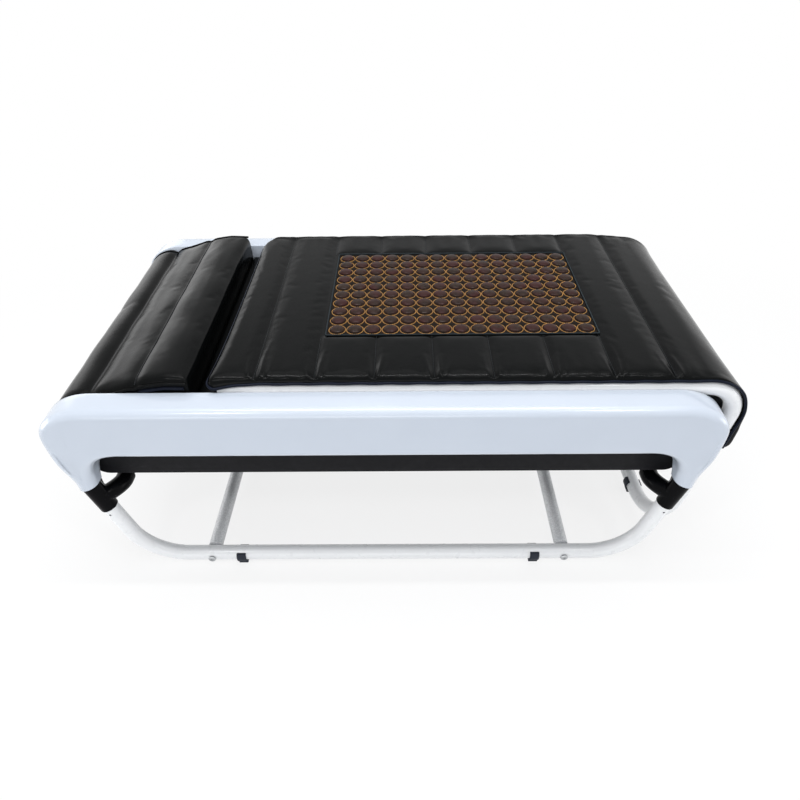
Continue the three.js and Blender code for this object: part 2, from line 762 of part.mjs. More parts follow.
// The foot half of the cover's outline, from the middle of its top to the middle of its bottom. Its
// leg runs on below the tip, where it is cut off square to the leg.
function coverHalfOutline() {
  const widestZ = coverTopZ - COVER_CORNER_DROP;
  const cornerX = COVER_HALF_LENGTH - COVER_CORNER_LENGTH;
  const roundShare = 0.55;
  const flankShare = 0.35;
  const flank = widestZ - coverTipZ;
  const endZ = coverTipZ - COVER_TIP_EXTRA;
  const outerX = legTipX + COVER_TIP_HALF;
  const innerX = legTipX - COVER_TIP_HALF;
  const path = new THREE.Path();
  path.moveTo(cornerX, coverTopZ);
  path.bezierCurveTo(
    cornerX + roundShare * COVER_CORNER_LENGTH, coverTopZ,
    COVER_HALF_LENGTH, widestZ + roundShare * COVER_CORNER_DROP,
    COVER_HALF_LENGTH, widestZ,
  );
  path.bezierCurveTo(
    COVER_HALF_LENGTH, widestZ - flankShare * flank,
    outerX, coverTipZ + flankShare * flank,
    outerX, coverTipZ,
  );
  path.lineTo(outerX, endZ);
  path.lineTo(innerX, endZ);
  path.lineTo(innerX, coverTipZ);
  path.lineTo(legTipX - COVER_INNER_CORNER, coverInnerCornerZ);
  path.quadraticCurveTo(
    legTipX - COVER_INNER_BEND, coverInnerBendZ,
    legTipX - COVER_INNER_END, coverBottomZ,
  );
  return path.getPoints(COVER_CURVE_STEPS);
}

// The whole outline, each point with the direction that leads into the cover by one unit.
function coverOutline() {
  const foot = coverHalfOutline();
  const head = foot.map((point) => new THREE.Vector2(-point.x, point.y)).reverse();
  const points = [...foot, ...head];
  const inward = (from, to) => {
    const along = to.clone().sub(from).normalize();
    return new THREE.Vector2(along.y, -along.x);
  };
  return points.map((point, i) => {
    const before = inward(points[(i + points.length - 1) % points.length], point);
    const after = inward(point, points[(i + 1) % points.length]);
    const into = before.clone().add(after).divideScalar(1 + before.dot(after));
    return { point, into };
  });
}

// How far a height belongs to the slim round leg, from 0 in the body to 1 at the tip.
function coverTipShare(z) {
  return 1 - THREE.MathUtils.smoothstep(z, coverTipZ, coverTipBlendZ);
}

// The cover as a solid with rounded front edges, drawn in all over by wall. Its back is at a depth
// that back gives for the share of slim leg at each place.
function coverBlock(side, wall, back) {
  const outline = coverOutline();
  const ring = (place) => outline.map(({ point, into }) => {
    const share = coverTipShare(point.y);
    const { inset, depth } = place(share);
    const y = side * (BODY_WIDTH / 2 - depth);
    return [point.x + into.x * inset, y, point.y + into.y * inset];
  });
  const rounded = (turn) => ring((share) => {
    const radius = THREE.MathUtils.lerp(COVER_ROUND, COVER_TIP_ROUND, share) - wall;
    return {
      inset: wall + radius * (1 - Math.sin(turn)),
      depth: COVER_TIP_FRONT * share + wall + radius * (1 - Math.cos(turn)),
    };
  });
  const rings = Array.from({ length: COVER_ROUND_STEPS + 1 }, (_, i) => (
    rounded((i / COVER_ROUND_STEPS) * (Math.PI / 2))
  ));
  rings.push(ring((share) => ({ inset: wall, depth: back(share) })));
  return ringSolid(rings);
}

function sideCover(side) {
  const inner = innerHalfWidth;
  const shell = coverBlock(side, 0, (share) => (
    THREE.MathUtils.lerp(COVER_DEPTH, COVER_TIP_BACK, share)
  ));
  const lip = boxAt(
    around(0, COVER_HALF_LENGTH + OVERRUN),
    onSide(side, [inner - COVER_DEPTH, inner + COVER_WALL]),
    [coverTopZ - COVER_LIP, coverTopZ + OVERRUN],
  );
  const hollow = cut(coverBlock(side, COVER_WALL, () => COVER_DEPTH + OVERRUN), [lip]);
  const belowTips = [-1, 1].map((end) => {
    const wide = 2 * COVER_TIP_HALF;
    const block = boxAt(around(0, wide), around(0, COVER_DEPTH), [-2 * COVER_TIP_EXTRA, 0]);
    return block.rotateY(end * legTilt).translate(end * legTipX, side * baseRailY, coverTipZ);
  });
  return cut(shell, [hollow, ...belowTips]);
}

function sideBeam(side) {
  const [low, high] = onSide(side, [innerHalfWidth, innerHalfWidth + BEAM_DEPTH]);
  const topZ = beamBottomZ + BEAM_HEIGHT;
  const outline = rectangle([low, high], [beamBottomZ, topZ]);
  const hole = rectangle([low + BEAM_WALL, high - BEAM_WALL], [beamBottomZ + BEAM_WALL, topZ - BEAM_WALL]);
  const reach = COVER_HALF_LENGTH - BEAM_END_SPACE;
  return extrudeX(outlineShape(outline, [hole]), -reach, reach);
}

// Housing, deck and end panels

// Housing outline in X and Z, drawn in by inset, with round lower corners and round shoulders.
function housingOutline(inset, topZ) {
  const half = housingHalfLength - inset;
  const low = housingBottomZ + inset;
  const radius = HOUSING_CORNER_R - inset;
  const shoulder = HOUSING_SHOULDER_R - inset;
  const shoulderX = half - shoulder;
  const shoulderZ = housingTopZ - HOUSING_SHOULDER_R;
  const path = new THREE.Path();
  path.moveTo(shoulderX, topZ);
  path.lineTo(shoulderX, shoulderZ + shoulder);
  path.absarc(shoulderX, shoulderZ, shoulder, Math.PI / 2, 0, true);
  path.absarc(half - radius, low + radius, radius, 0, -Math.PI / 2, true);
  path.absarc(-half + radius, low + radius, radius, -Math.PI / 2, -Math.PI, true);
  path.absarc(-shoulderX, shoulderZ, shoulder, Math.PI, Math.PI / 2, true);
  path.lineTo(-shoulderX, topZ);
  return outlineShape(path.getPoints(BEND_STEPS / 2));
}

function inletOpening(grow) {
  const past = HOUSING_WALL + OVERRUN;
  return boxAt(
    around(-housingHalfLength, past),
    around(INLET_Y, INLET_WIDTH / 2 + grow),
    around(inletZ, INLET_HEIGHT / 2 + grow),
  );
}

function lowerHousing() {
  const outer = extrudeY(housingOutline(0, housingTopZ), -deckHalfWidth, deckHalfWidth);
  const insideY = deckHalfWidth - HOUSING_WALL;
  const inner = extrudeY(housingOutline(HOUSING_WALL, housingTopZ + OVERRUN), -insideY, insideY);
  return cut(outer, [inner, inletOpening(SEAT_GAP)]);
}

function guideBlockX() {
  return [guideFirstX - GUIDE_BLOCK_END, guideFirstX + GUIDE_PITCH + GUIDE_BLOCK_END];
}

// Deck outline seen from above, with a notch at each edge for the guide wheel blocks.
function deckOutline(headX, footX, halfWidth, gap) {
  const [blockLow, blockHigh] = guideBlockX();
  const notch = slideRailY - GUIDE_BLOCK_SIDE - gap;
  const rear = [
    [footX, halfWidth], [blockHigh + gap, halfWidth], [blockHigh + gap, notch],
    [blockLow - gap, notch], [blockLow - gap, halfWidth], [headX, halfWidth],
  ];
  const front = rear.map(([x, y]) => [x, -y]).reverse();
  return [...rear, ...front].map(([x, y]) => new THREE.Vector2(x, y));
}

function deckBoard() {
  const outline = deckOutline(-deckHalfLength, deckHalfLength, deckHalfWidth, SEAT_GAP);
  const slot = rectangle([slotHeadX, slotFootX], around(0, SLOT_HALF_WIDTH));
  return extrudeZ(outlineShape(outline, [slot]), deckBottomZ, DECK_TOP_Z);
}

function slotOutline(margin) {
  return rectangle([slotHeadX - margin, slotFootX + margin], around(0, SLOT_HALF_WIDTH + margin));
}

function mainMat() {
  const headX = headMatFootX + SOFT_GAP;
  const halfWidth = innerHalfWidth - SOFT_GAP;
  const outline = deckOutline(headX, deckHalfLength, halfWidth, SOFT_GAP);
  const slot = slotOutline(SLOT_COVER_MARGIN);
  return extrudeZ(outlineShape(outline, [slot]), DECK_TOP_Z + SEAT_GAP, mainMatTopZ);
}

function rollerSlotCover() {
  const outline = slotOutline(SLOT_COVER_MARGIN - SEAT_GAP);
  const topZ = mainMatTopZ - SLOT_COVER_SINK;
  return extrudeZ(outlineShape(outline), topZ - SLOT_COVER_THICK, topZ);
}

// A bent sheet that starts at the deck's end and curves down, open below.
function endPanel(end) {
  const centreX = deckHalfLength + SEAT_GAP;
  const centreZ = DECK_TOP_Z - PANEL_R;
  const inner = PANEL_R - PANEL_THICK;
  const path = new THREE.Path();
  path.absarc(centreX, centreZ, PANEL_R, Math.PI / 2, 0, true);
  path.lineTo(centreX + PANEL_R, centreZ - PANEL_DROP);
  path.lineTo(centreX + inner, centreZ - PANEL_DROP);
  path.absarc(centreX, centreZ, inner, 0, Math.PI / 2, false);
  const points = path.getPoints(BEND_STEPS / 2).map((point) => new THREE.Vector2(end * point.x, point.y));
  return extrudeY(outlineShape(points), -deckHalfWidth, deckHalfWidth);
}

// Leg section

const slideBendCentreZ = slideRailZ - SLIDE_BEND_R;
const slideLegStart = new THREE.Vector3(
  slideBendX + SLIDE_BEND_R * Math.cos(slideTilt),
  0,
  slideBendCentreZ - SLIDE_BEND_R * Math.sin(slideTilt),
);
const slideLegDown = new THREE.Vector3(-Math.sin(slideTilt), 0, -Math.cos(slideTilt));
const slideFootZ = FOOT_PAD + slideTubeR;
const slideLegLength = (slideLegStart.z - slideFootZ) / Math.cos(slideTilt);
const slideFootX = slideLegStart.x + slideLegDown.x * slideLegLength;

function slideFrameStations() {
  const along = new THREE.Vector3(1, 0, 0);
  const down = new THREE.Vector3(0, 0, -1);
  const inward = new THREE.Vector3(0, 1, 0);
  const railStart = station(new THREE.Vector3(slideHeadX, -slideRailY, slideRailZ), along);
  const bendStart = new THREE.Vector3(slideBendX, -slideRailY, slideRailZ);
  const bend = arcStations(bendStart, along, down, SLIDE_BEND_R, Math.PI / 2 + slideTilt, BEND_STEPS);
  const straight = slideLegLength - SLIDE_CORNER_R;
  const cornerStart = slideLegStart.clone().setY(-slideRailY).addScaledVector(slideLegDown, straight);
  const corner = arcStations(cornerStart, slideLegDown, inward, SLIDE_CORNER_R, Math.PI / 2, BEND_STEPS);
  return mirroredStations([railStart, ...bend, ...corner], 1);
}

function legFrame() {
  return pipe(slideFrameStations(), slideTubeR, slideTubeR - SLIDE_TUBE_WALL, TUBE_SIDES);
}

// A place on the line that follows the side rails round the bend, moved out from it by offset.
// The run is measured along X up to the bend, then along the bend and the leg.
const bendRun = SLIDE_BEND_R * (Math.PI / 2 + slideTilt);
function slidePlace(run, offset) {
  if (run <= slideBendX) return [run, slideRailZ + offset];
  const turn = Math.min(run - slideBendX, bendRun) / SLIDE_BEND_R;
  const radius = SLIDE_BEND_R + offset;
  const past = Math.max(run - slideBendX - bendRun, 0);
  return [
    slideBendX + radius * Math.sin(turn) + slideLegDown.x * past,
    slideBendCentreZ + radius * Math.cos(turn) + slideLegDown.z * past,
  ];
}

const legCoverEndRun = slideBendX + bendRun + LEG_MAT_DROP;

function legDeck() {
  const runs = [legMatHeadX + LEG_DECK_HEAD_SPACE, slideBendX];
  for (let i = 1; i <= BEND_STEPS; i += 1) runs.push(slideBendX + (bendRun * i) / BEND_STEPS);
  runs.push(legCoverEndRun);
  const upper = runs.map((run) => slidePlace(run, slideTubeR));
  const lower = runs.map((run) => slidePlace(run, 0)).reverse();
  const outline = [...upper, ...lower].map(([x, z]) => new THREE.Vector2(x, z));
  const half = slideRailY - slideTubeR - SEAT_GAP;
  return extrudeY(outlineShape(outline), -half, half);
}

// A plug in the open end of a side rail, with a pad that glides on the main mat.
function slideGlide(side) {
  const y = side * slideRailY;
  const innerR = (slideTubeR - SLIDE_TUBE_WALL) * Math.cos(Math.PI / TUBE_SIDES) - SEAT_GAP;
  const plugStart = new THREE.Vector3(slideHeadX - SEAT_GAP, y, slideRailZ);
  const plugEnd = new THREE.Vector3(slideHeadX + GLIDE_PLUG_LENGTH, y, slideRailZ);
  const plug = rod(plugStart, plugEnd, innerR, ROUND_SIDES);
  const capEnd = plugStart.clone().setX(slideHeadX - SEAT_GAP - GLIDE_CAP);
  const cap = rod(capEnd, plugStart, slideTubeR, ROUND_SIDES);
  const padHalfShare = 0.6;
  const half = slideTubeR * padHalfShare;
  const pad = boxAt([capEnd.x, plugStart.x], around(y, half), [mainMatTopZ + SEAT_GAP, slideRailZ]);
  return join([plug, cap, pad]);
}

// Guide wheels

const guideWheelZ = slideRailZ - slideTubeR - RUN_GAP - GUIDE_WHEEL_R;

function guideWheelPlace(index) {
  return guideFirstX + index * GUIDE_PITCH;
}

function guideWheel(side, index) {
  const half = GUIDE_WHEEL_WIDTH / 2;
  const reach = GUIDE_AXLE_LENGTH / 2;
  const y = side * slideRailY;
  const profile = [
    [0, y - reach], [GUIDE_AXLE_R, y - reach], [GUIDE_AXLE_R, y - half], [GUIDE_WHEEL_R, y - half],
    [GUIDE_WHEEL_R, y + half], [GUIDE_AXLE_R, y + half], [GUIDE_AXLE_R, y + reach], [0, y + reach],
  ];
  return turnedY(profile, guideWheelPlace(index), guideWheelZ, ROUND_SIDES);
}

function guideBlock(side) {
  const near = slideRailY - GUIDE_BLOCK_SIDE;
  const topZ = guideWheelZ + GUIDE_AXLE_R + GUIDE_BLOCK_COVER;
  const block = boxAt(guideBlockX(), onSide(side, [near, deckHalfWidth]), [deckBottomZ, topZ]);
  const pocketYs = around(side * slideRailY, (GUIDE_WHEEL_WIDTH + GUIDE_POCKET_SPACE) / 2);
  const boreYs = onSide(side, [near - OVERRUN, deckHalfWidth + OVERRUN]);
  const cutters = [0, 1].flatMap((index) => {
    const x = guideWheelPlace(index);
    const pocketXs = around(x, GUIDE_WHEEL_R + GUIDE_POCKET_SPACE);
    return [
      boxAt(pocketXs, pocketYs, [deckBottomZ - OVERRUN, topZ + OVERRUN]),
      boreAlongY(x, guideWheelZ, boreYs, GUIDE_AXLE_R + RUN_GAP),
    ];
  });
  return cut(block, cutters);
}

// Leg mat and stone panel

const stonePanelHalfX = (STONE_COLUMNS * STONE_PITCH_X) / 2 + STONE_PANEL_BORDER;
const stonePanelHalfY = (STONE_ROWS * STONE_PITCH_Y) / 2 + STONE_PANEL_BORDER;
const legMatBase = slideTubeR + SEAT_GAP;

// How far a place lies inside a band of half width half, from 0 at its edge to 1 past the slope.
function insideBand(value, half, slope) {
  return THREE.MathUtils.clamp((half - Math.abs(value)) / slope, 0, 1);
}

function channelDepth(run) {
  const along = run - legMatHeadX - LEG_MAT_FIRST_CHANNEL;
  const nearest = Math.round(along / LEG_MAT_CHANNEL_PITCH) * LEG_MAT_CHANNEL_PITCH;
  if (run > slideBendX || nearest < 0) return 0;
  const half = LEG_MAT_CHANNEL_HALF;
  return LEG_MAT_CHANNEL * insideBand(along - nearest, half, half);
}

// Thickness of an edge that rolls down over a distance from full to edge.
function rolled(distance, roll, full, edge) {
  const share = THREE.MathUtils.clamp(distance / roll, 0, 1);
  return edge + (full - edge) * Math.sqrt(1 - (1 - share) ** 2);
}

function legMatThickness(run, y) {
  const thinFrom = slideBendX - LEG_MAT_CHANNEL_PITCH;
  const footShare = THREE.MathUtils.smoothstep(run, thinFrom, slideBendX + bendRun / 2);
  const past = run - slideBendX - bendRun;
  const endShare = THREE.MathUtils.smoothstep(past, -LEG_MAT_END_BLEND, LEG_MAT_END_BLEND);
  const plain = THREE.MathUtils.lerp(LEG_MAT_THICK, LEG_MAT_FOOT_THICK, footShare);
  const full = THREE.MathUtils.lerp(plain, LEG_MAT_END_THICK, endShare);
  const edge = Math.min(LEG_MAT_EDGE_THICK, full);
  const inPanel = (distance, half) => (
    insideBand(distance, half + SOFT_GAP + PANEL_RECESS_SLOPE, PANEL_RECESS_SLOPE)
  );
  const inX = inPanel(run - stonePanelX, stonePanelHalfX);
  const inY = inPanel(y - STONE_PANEL_Y, stonePanelHalfY);
  const recess = Math.min(inX, inY);
  const distance = Math.min(legMatHalfWidth - Math.abs(y), run - legMatHeadX);
  const stitched = full - channelDepth(run) * (1 - recess);
  return rolled(distance, LEG_MAT_EDGE_ROLL, stitched, edge) - PANEL_RECESS * recess;
}

// The given places in order, each once.
function sortedPlaces(values) {
  const rounded = values.map((value) => Math.round(value * PLACES_PER_MM) / PLACES_PER_MM);
  return [...new Set(rounded)].sort((a, b) => a - b);
}

function legMatRuns() {
  const recess = stonePanelHalfX + SOFT_GAP;
  const runs = [legMatHeadX, slideBendX, legCoverEndRun];
  const rollShares = [0.15, 0.5, 1];
  rollShares.forEach((share) => runs.push(legMatHeadX + share * LEG_MAT_EDGE_ROLL));
  [-1, 1].forEach((end) => {
    runs.push(stonePanelX + end * recess, stonePanelX + end * (recess + PANEL_RECESS_SLOPE));
  });
  for (let x = legMatHeadX + LEG_MAT_FIRST_CHANNEL; x < slideBendX; x += LEG_MAT_CHANNEL_PITCH) {
    runs.push(x - LEG_MAT_CHANNEL_HALF, x, x + LEG_MAT_CHANNEL_HALF);
  }
  for (let i = 1; i <= BEND_STEPS; i += 1) runs.push(slideBendX + (bendRun * i) / BEND_STEPS);
  return sortedPlaces(runs);
}

function edgeRows(halfWidth, roll) {
  const rollShares = [0, 0.2, 1];
  return rollShares.flatMap((share) => [-halfWidth + share * roll, halfWidth - share * roll]);
}

function legMatRows() {
  const recess = stonePanelHalfY + SOFT_GAP;
  const rows = edgeRows(legMatHalfWidth, LEG_MAT_EDGE_ROLL);
  [-1, 1].forEach((side) => {
    rows.push(STONE_PANEL_Y + side * recess, STONE_PANEL_Y + side * (recess + PANEL_RECESS_SLOPE));
  });
  return sortedPlaces(rows);
}

function legMat() {
  const surface = (offset) => (run, y) => {
    const [x, z] = slidePlace(run, offset(run, y));
    return [x, y, z];
  };
  const upper = surface((run, y) => legMatBase + legMatThickness(run, y));
  const lower = surface(() => legMatBase);
  return gridSolid(legMatRuns(), legMatRows(), upper, lower);
}

function stonePanel() {
  const zLow = slideRailZ + legMatBase + LEG_MAT_THICK - PANEL_RECESS + SEAT_GAP;
  const zHigh = zLow + STONE_PANEL_THICK;
  const places = [];
  for (let column = 0; column < STONE_COLUMNS; column += 1) {
    for (let row = 0; row < STONE_ROWS; row += 1) {
      places.push([
        stonePanelX + (column - (STONE_COLUMNS - 1) / 2) * STONE_PITCH_X,
        STONE_PANEL_Y + (row - (STONE_ROWS - 1) / 2) * STONE_PITCH_Y,
      ]);
    }
  }
  const rings = places.map(([x, y]) => (
    ringPoints(STONE_D / 2, STONE_SIDES).map((point) => point.add(new THREE.Vector2(x, y)))
  ));
  const outline = rectangle(around(stonePanelX, stonePanelHalfX), around(STONE_PANEL_Y, stonePanelHalfY));
  return stoneField(outline, rings, places, [zLow, zHigh]);
}

// The sheet and its stones as one skin: a flat underside, straight sides, and a top with a low
// stone standing on each ring.
function stoneField(outline, rings, places, [zLow, zHigh]) {
  const positions = [];
  const face = (...corners) => corners.forEach((corner) => positions.push(...corner));
  const at = (point, z) => [point.x, point.y, z];
  const points = [...outline, ...rings.flat()];
  THREE.ShapeUtils.triangulateShape(outline, rings).forEach((triangle) => {
    face(...triangle.map((index) => at(points[index], zHigh)));
  });
  outline.forEach((point, i) => {
    const next = outline[(i + 1) % outline.length];
    face(at(point, zLow), at(next, zLow), at(next, zHigh));
    face(at(point, zLow), at(next, zHigh), at(point, zHigh));
  });
  face(at(outline[2], zLow), at(outline[1], zLow), at(outline[0], zLow));
  face(at(outline[3], zLow), at(outline[2], zLow), at(outline[0], zLow));
  const topShare = STONE_TOP_D / STONE_D;
  rings.forEach((ring, index) => {
    const middle = new THREE.Vector2(...places[index]);
    const raised = ring.map((point) => at(middle.clone().lerp(point, topShare), zHigh + STONE_RISE));
    ring.forEach((point, i) => {
      const next = (i + 1) % ring.length;
      face(at(point, zHigh), at(ring[next], zHigh), raised[next]);
      face(at(point, zHigh), raised[next], raised[i]);
    });
    for (let i = 1; i + 1 < raised.length; i += 1) face(raised[0], raised[i], raised[i + 1]);
  });
  const geometry = new THREE.BufferGeometry();
  geometry.setAttribute('position', new THREE.Float32BufferAttribute(positions, 3));
  return geometry;
}

// Head mat

// A place on the line over the deck and round the head end panel, moved out from it by offset.
// The run is measured from the mat's foot edge towards the head end.
const headFlatRun = headMatFootX + deckHalfLength + SEAT_GAP;
const headBendRun = PANEL_R * Math.PI / 2;
const headEndRun = headFlatRun + headBendRun + PANEL_DROP;
function headPlace(run, offset) {
  const out = offset + SEAT_GAP;
  if (run <= headFlatRun) return [headMatFootX - run, DECK_TOP_Z + out];
  const turn = Math.min(run - headFlatRun, headBendRun) / PANEL_R;
  const past = Math.max(run - headFlatRun - headBendRun, 0);
  return [
    -deckHalfLength - SEAT_GAP - (PANEL_R + out) * Math.sin(turn),
    DECK_TOP_Z - PANEL_R + (PANEL_R + out) * Math.cos(turn) - past,
  ];
}

function headMatFull(run) {
  const shoulder = HEAD_MAT_FLAT + HEAD_MAT_SLOPE;
  if (run < shoulder) {
    const share = THREE.MathUtils.clamp((run - HEAD_MAT_FLAT) / HEAD_MAT_SLOPE, 0, 1);
    return THREE.MathUtils.lerp(HEAD_MAT_THICK, HEAD_MAT_SHOULDER_THICK, share ** HEAD_MAT_FALL_POWER);
  }
  const share = THREE.MathUtils.clamp((run - shoulder) / (headEndRun - shoulder), 0, 1);
  return THREE.MathUtils.lerp(HEAD_MAT_SHOULDER_THICK, HEAD_MAT_END_THICK, share);
}

function headMatThickness(run, y) {
  const channels = [HEAD_MAT_FLAT, HEAD_MAT_FLAT + HEAD_MAT_SLOPE];
  const dip = channels.reduce((sum, place) => (
    sum + HEAD_MAT_CHANNEL * insideBand(run - place, HEAD_MAT_CHANNEL_HALF, HEAD_MAT_CHANNEL_HALF)
  ), 0);
  const full = headMatFull(run) - dip;
  const distance = Math.min(headMatHalfWidth - Math.abs(y), run);
  return rolled(distance, HEAD_MAT_EDGE_ROLL, full, full - HEAD_MAT_EDGE_DROP);
}

function headMatRuns() {
  const shoulder = HEAD_MAT_FLAT + HEAD_MAT_SLOPE;
  const rollShares = [0, 0.15, 0.5, 1];
  const runs = rollShares.map((share) => share * HEAD_MAT_EDGE_ROLL);
  const slopeShare = 0.5;
  [HEAD_MAT_FLAT, shoulder].forEach((place) => {
    runs.push(place - HEAD_MAT_CHANNEL_HALF, place, place + HEAD_MAT_CHANNEL_HALF);
  });
  runs.push(HEAD_MAT_FLAT + slopeShare * HEAD_MAT_SLOPE, headEndRun);
  for (let i = 0; i <= BEND_STEPS; i += 1) runs.push(headFlatRun + (headBendRun * i) / BEND_STEPS);
  return sortedPlaces(runs);
}

function headMat() {
  const surface = (offset) => (run, y) => {
    const [x, z] = headPlace(run, offset(run, y));
    return [x, y, z];
  };
  const rows = sortedPlaces([...edgeRows(headMatHalfWidth, HEAD_MAT_EDGE_ROLL), 0]);
  return gridSolid(headMatRuns(), rows, surface(headMatThickness), surface(() => 0));
}

// Roller carriage, resting at the head end of the slot

const railTopZ = housingFloorZ + RAIL_HEIGHT;
const wheelAxisZ = railTopZ + RUN_GAP + CARRIAGE_WHEEL_R;
const plateBottomZ = wheelAxisZ + CARRIAGE_WHEEL_R + CARRIAGE_AXLE_COVER;
const plateTopZ = plateBottomZ + CARRIAGE_PLATE;
const carriageX = slotHeadX + CARRIAGE_END_SPACE + JADE_SPACING / 2 + JADE_R;
const jadeRaisedZ = mainMatTopZ - SLOT_COVER_SINK - SLOT_COVER_THICK - ROLLER_TOP_SPACE - JADE_R;
const jadeAxisZ = jadeRaisedZ - LIFT_TRAVEL;
const cradleTopZ = jadeAxisZ - JADE_R - RUN_GAP;
const cradleBottomZ = cradleTopZ - CRADLE_PLATE;

function carriageRail(side) {
  const near = RAIL_Y - RAIL_WIDTH / 2;
  const ys = onSide(side, [near, near + RAIL_WIDTH]);
  const xs = [slotHeadX - RAIL_HEAD_REACH, deckHalfLength - RAIL_FOOT_SPACE];
  return boxAt(xs, ys, [housingFloorZ, railTopZ]);
}

function wheelSetX(end) {
  return carriageX + (end * WHEELBASE) / 2;
}

function jadeX(end) {
  return carriageX + (end * JADE_SPACING) / 2;
}

function wheelSet(end) {
  const wheelIn = RAIL_Y - CARRIAGE_WHEEL_WIDTH / 2;
  const wheelOut = RAIL_Y + CARRIAGE_WHEEL_WIDTH / 2;
  const tip = wheelOut + CARRIAGE_AXLE_END;
  const half = [
    [0, tip], [CARRIAGE_AXLE_R, tip], [CARRIAGE_AXLE_R, wheelOut], [CARRIAGE_WHEEL_R, wheelOut],
    [CARRIAGE_WHEEL_R, wheelIn], [CARRIAGE_AXLE_R, wheelIn],
  ];
  const other = half.map(([radius, along]) => [radius, -along]).reverse();
  return turnedY([...half, ...other], wheelSetX(end), wheelAxisZ, ROUND_SIDES);
}

// Four ears on a plate, one at each end of both axles.
function axleEars(axleX, halfWidth, zs) {
  return [-1, 1].flatMap((end) => [-1, 1].map((side) => {
    const ys = onSide(side, [halfWidth - EAR_THICK, halfWidth]);
    return boxAt(around(axleX(end), EAR_WIDTH / 2), ys, zs);
  }));
}

function axleBores(axleX, axleZ, halfWidth, radius) {
  const ys = around(0, halfWidth + OVERRUN);
  return [-1, 1].map((end) => boreAlongY(axleX(end), axleZ, ys, radius + RUN_GAP));
}

// Two upright rods or bores where the cradle rides up and down on the carriage.
function postRods(radius, zLow, zHigh) {
  return [-1, 1].map((side) => rod(
    new THREE.Vector3(carriageX, side * POST_Y, zLow),
    new THREE.Vector3(carriageX, side * POST_Y, zHigh),
    radius,
    ROUND_SIDES,
  ));
}

function carriagePlate() {
  const plate = boxAt(
    around(carriageX, CARRIAGE_HALF_LENGTH),
    around(0, CARRIAGE_HALF_WIDTH),
    [plateBottomZ, plateTopZ],
  );
  const earLow = wheelAxisZ - CARRIAGE_AXLE_R - CARRIAGE_AXLE_COVER;
  const ears = axleEars(wheelSetX, CARRIAGE_HALF_WIDTH, [earLow, plateTopZ]);
  const posts = postRods(POST_R, plateBottomZ, jadeRaisedZ - JADE_R);
  const xs = around(carriageX, CLAMP_LENGTH / 2);
  const [clampNear, clampFar] = around(beltY, BELT_WIDTH / 2 + CLAMP_SPACE);
  const arm = boxAt(xs, [CARRIAGE_HALF_WIDTH - EAR_THICK, clampFar], [plateBottomZ, plateTopZ]);
  const clamp = boxAt(xs, [clampNear, clampFar], [beltTopZ + SEAT_GAP, plateTopZ]);
  const bores = axleBores(wheelSetX, wheelAxisZ, CARRIAGE_HALF_WIDTH, CARRIAGE_AXLE_R);
  return cut(join([plate, ...ears, ...posts, arm, clamp]), bores);
}

function liftMotor() {
  const low = plateTopZ + SEAT_GAP;
  const high = cradleBottomZ - SEAT_GAP;
  const block = boxAt(around(carriageX, LIFT_BOX_HALF), around(0, LIFT_BOX_HALF), [low, high]);
  const radius = Math.min(LIFT_MOTOR_R, (high - low) / 2);
  const ys = [LIFT_BOX_HALF - LIFT_MOTOR_LENGTH, LIFT_BOX_HALF];
  return join([block, rodAlongY(carriageX, low + radius, ys, radius, ROUND_SIDES)]);
}

function rollerCradle() {
  const plate = boxAt(
    around(carriageX, CRADLE_HALF_LENGTH),
    around(0, CRADLE_HALF_WIDTH),
    [cradleBottomZ, cradleTopZ],
  );
  const ears = axleEars(jadeX, CRADLE_HALF_WIDTH, [cradleBottomZ, jadeAxisZ + CRADLE_EAR_COVER]);
  const bores = axleBores(jadeX, jadeAxisZ, CRADLE_HALF_WIDTH, JADE_AXLE_R);
  const postR = boreRadius(POST_R + RUN_GAP, ROUND_SIDES);
  const postBores = postRods(postR, cradleBottomZ - OVERRUN, cradleTopZ + OVERRUN);
  return cut(join([plate, ...ears]), [...bores, ...postBores]);
}

// One turned pair of jade rollers on its axle.
function jadeRollers(end) {
  const shares = [-1, -0.7, 0, 0.7, 1];
  const rimShare = 0.55;
  const body = (side) => {
    const rows = shares.map((share) => [
      JADE_R * (rimShare + (1 - rimShare) * Math.sqrt(1 - share ** 2)),
      side * JADE_BULGE_Y + share * JADE_BULGE_HALF,
    ]);
    const low = side * JADE_BULGE_Y - JADE_BULGE_HALF;
    const high = side * JADE_BULGE_Y + JADE_BULGE_HALF;
    return [[JADE_AXLE_R, low], ...rows, [JADE_AXLE_R, high]];
  };
  const profile = [
    [0, -CRADLE_HALF_WIDTH], [JADE_AXLE_R, -CRADLE_HALF_WIDTH],
    ...body(-1), ...body(1),
    [JADE_AXLE_R, CRADLE_HALF_WIDTH], [0, CRADLE_HALF_WIDTH],
  ];
  return turnedY(profile, jadeX(end), jadeAxisZ, ROUND_SIDES);
}

// Belt drive

const pulleyZ = housingFloorZ + PULLEY_R + BELT_THICK + CLAMP_SPACE + RAIL_HEIGHT / 2;
const beltTopZ = pulleyZ + PULLEY_R + SEAT_GAP + BELT_THICK;

function beltLoop(radius) {
  const path = new THREE.Path();
  path.absarc(pulleyX, pulleyZ, radius, -Math.PI / 2, Math.PI / 2, false);
  path.absarc(-pulleyX, pulleyZ, radius, Math.PI / 2, 3 * Math.PI / 2, false);
  const points = path.getPoints(ROUND_SIDES / 2);
  const last = points[points.length - 1];
  return last.distanceTo(points[0]) < SEAT_GAP ? points.slice(0, -1) : points;
}

function belt() {
  const inner = boreRadius(PULLEY_R + SEAT_GAP, ROUND_SIDES);
  const outer = PULLEY_R + SEAT_GAP + BELT_THICK;
  return extrudeY(outlineShape(beltLoop(outer), [beltLoop(inner)]), ...around(beltY, BELT_WIDTH / 2));
}

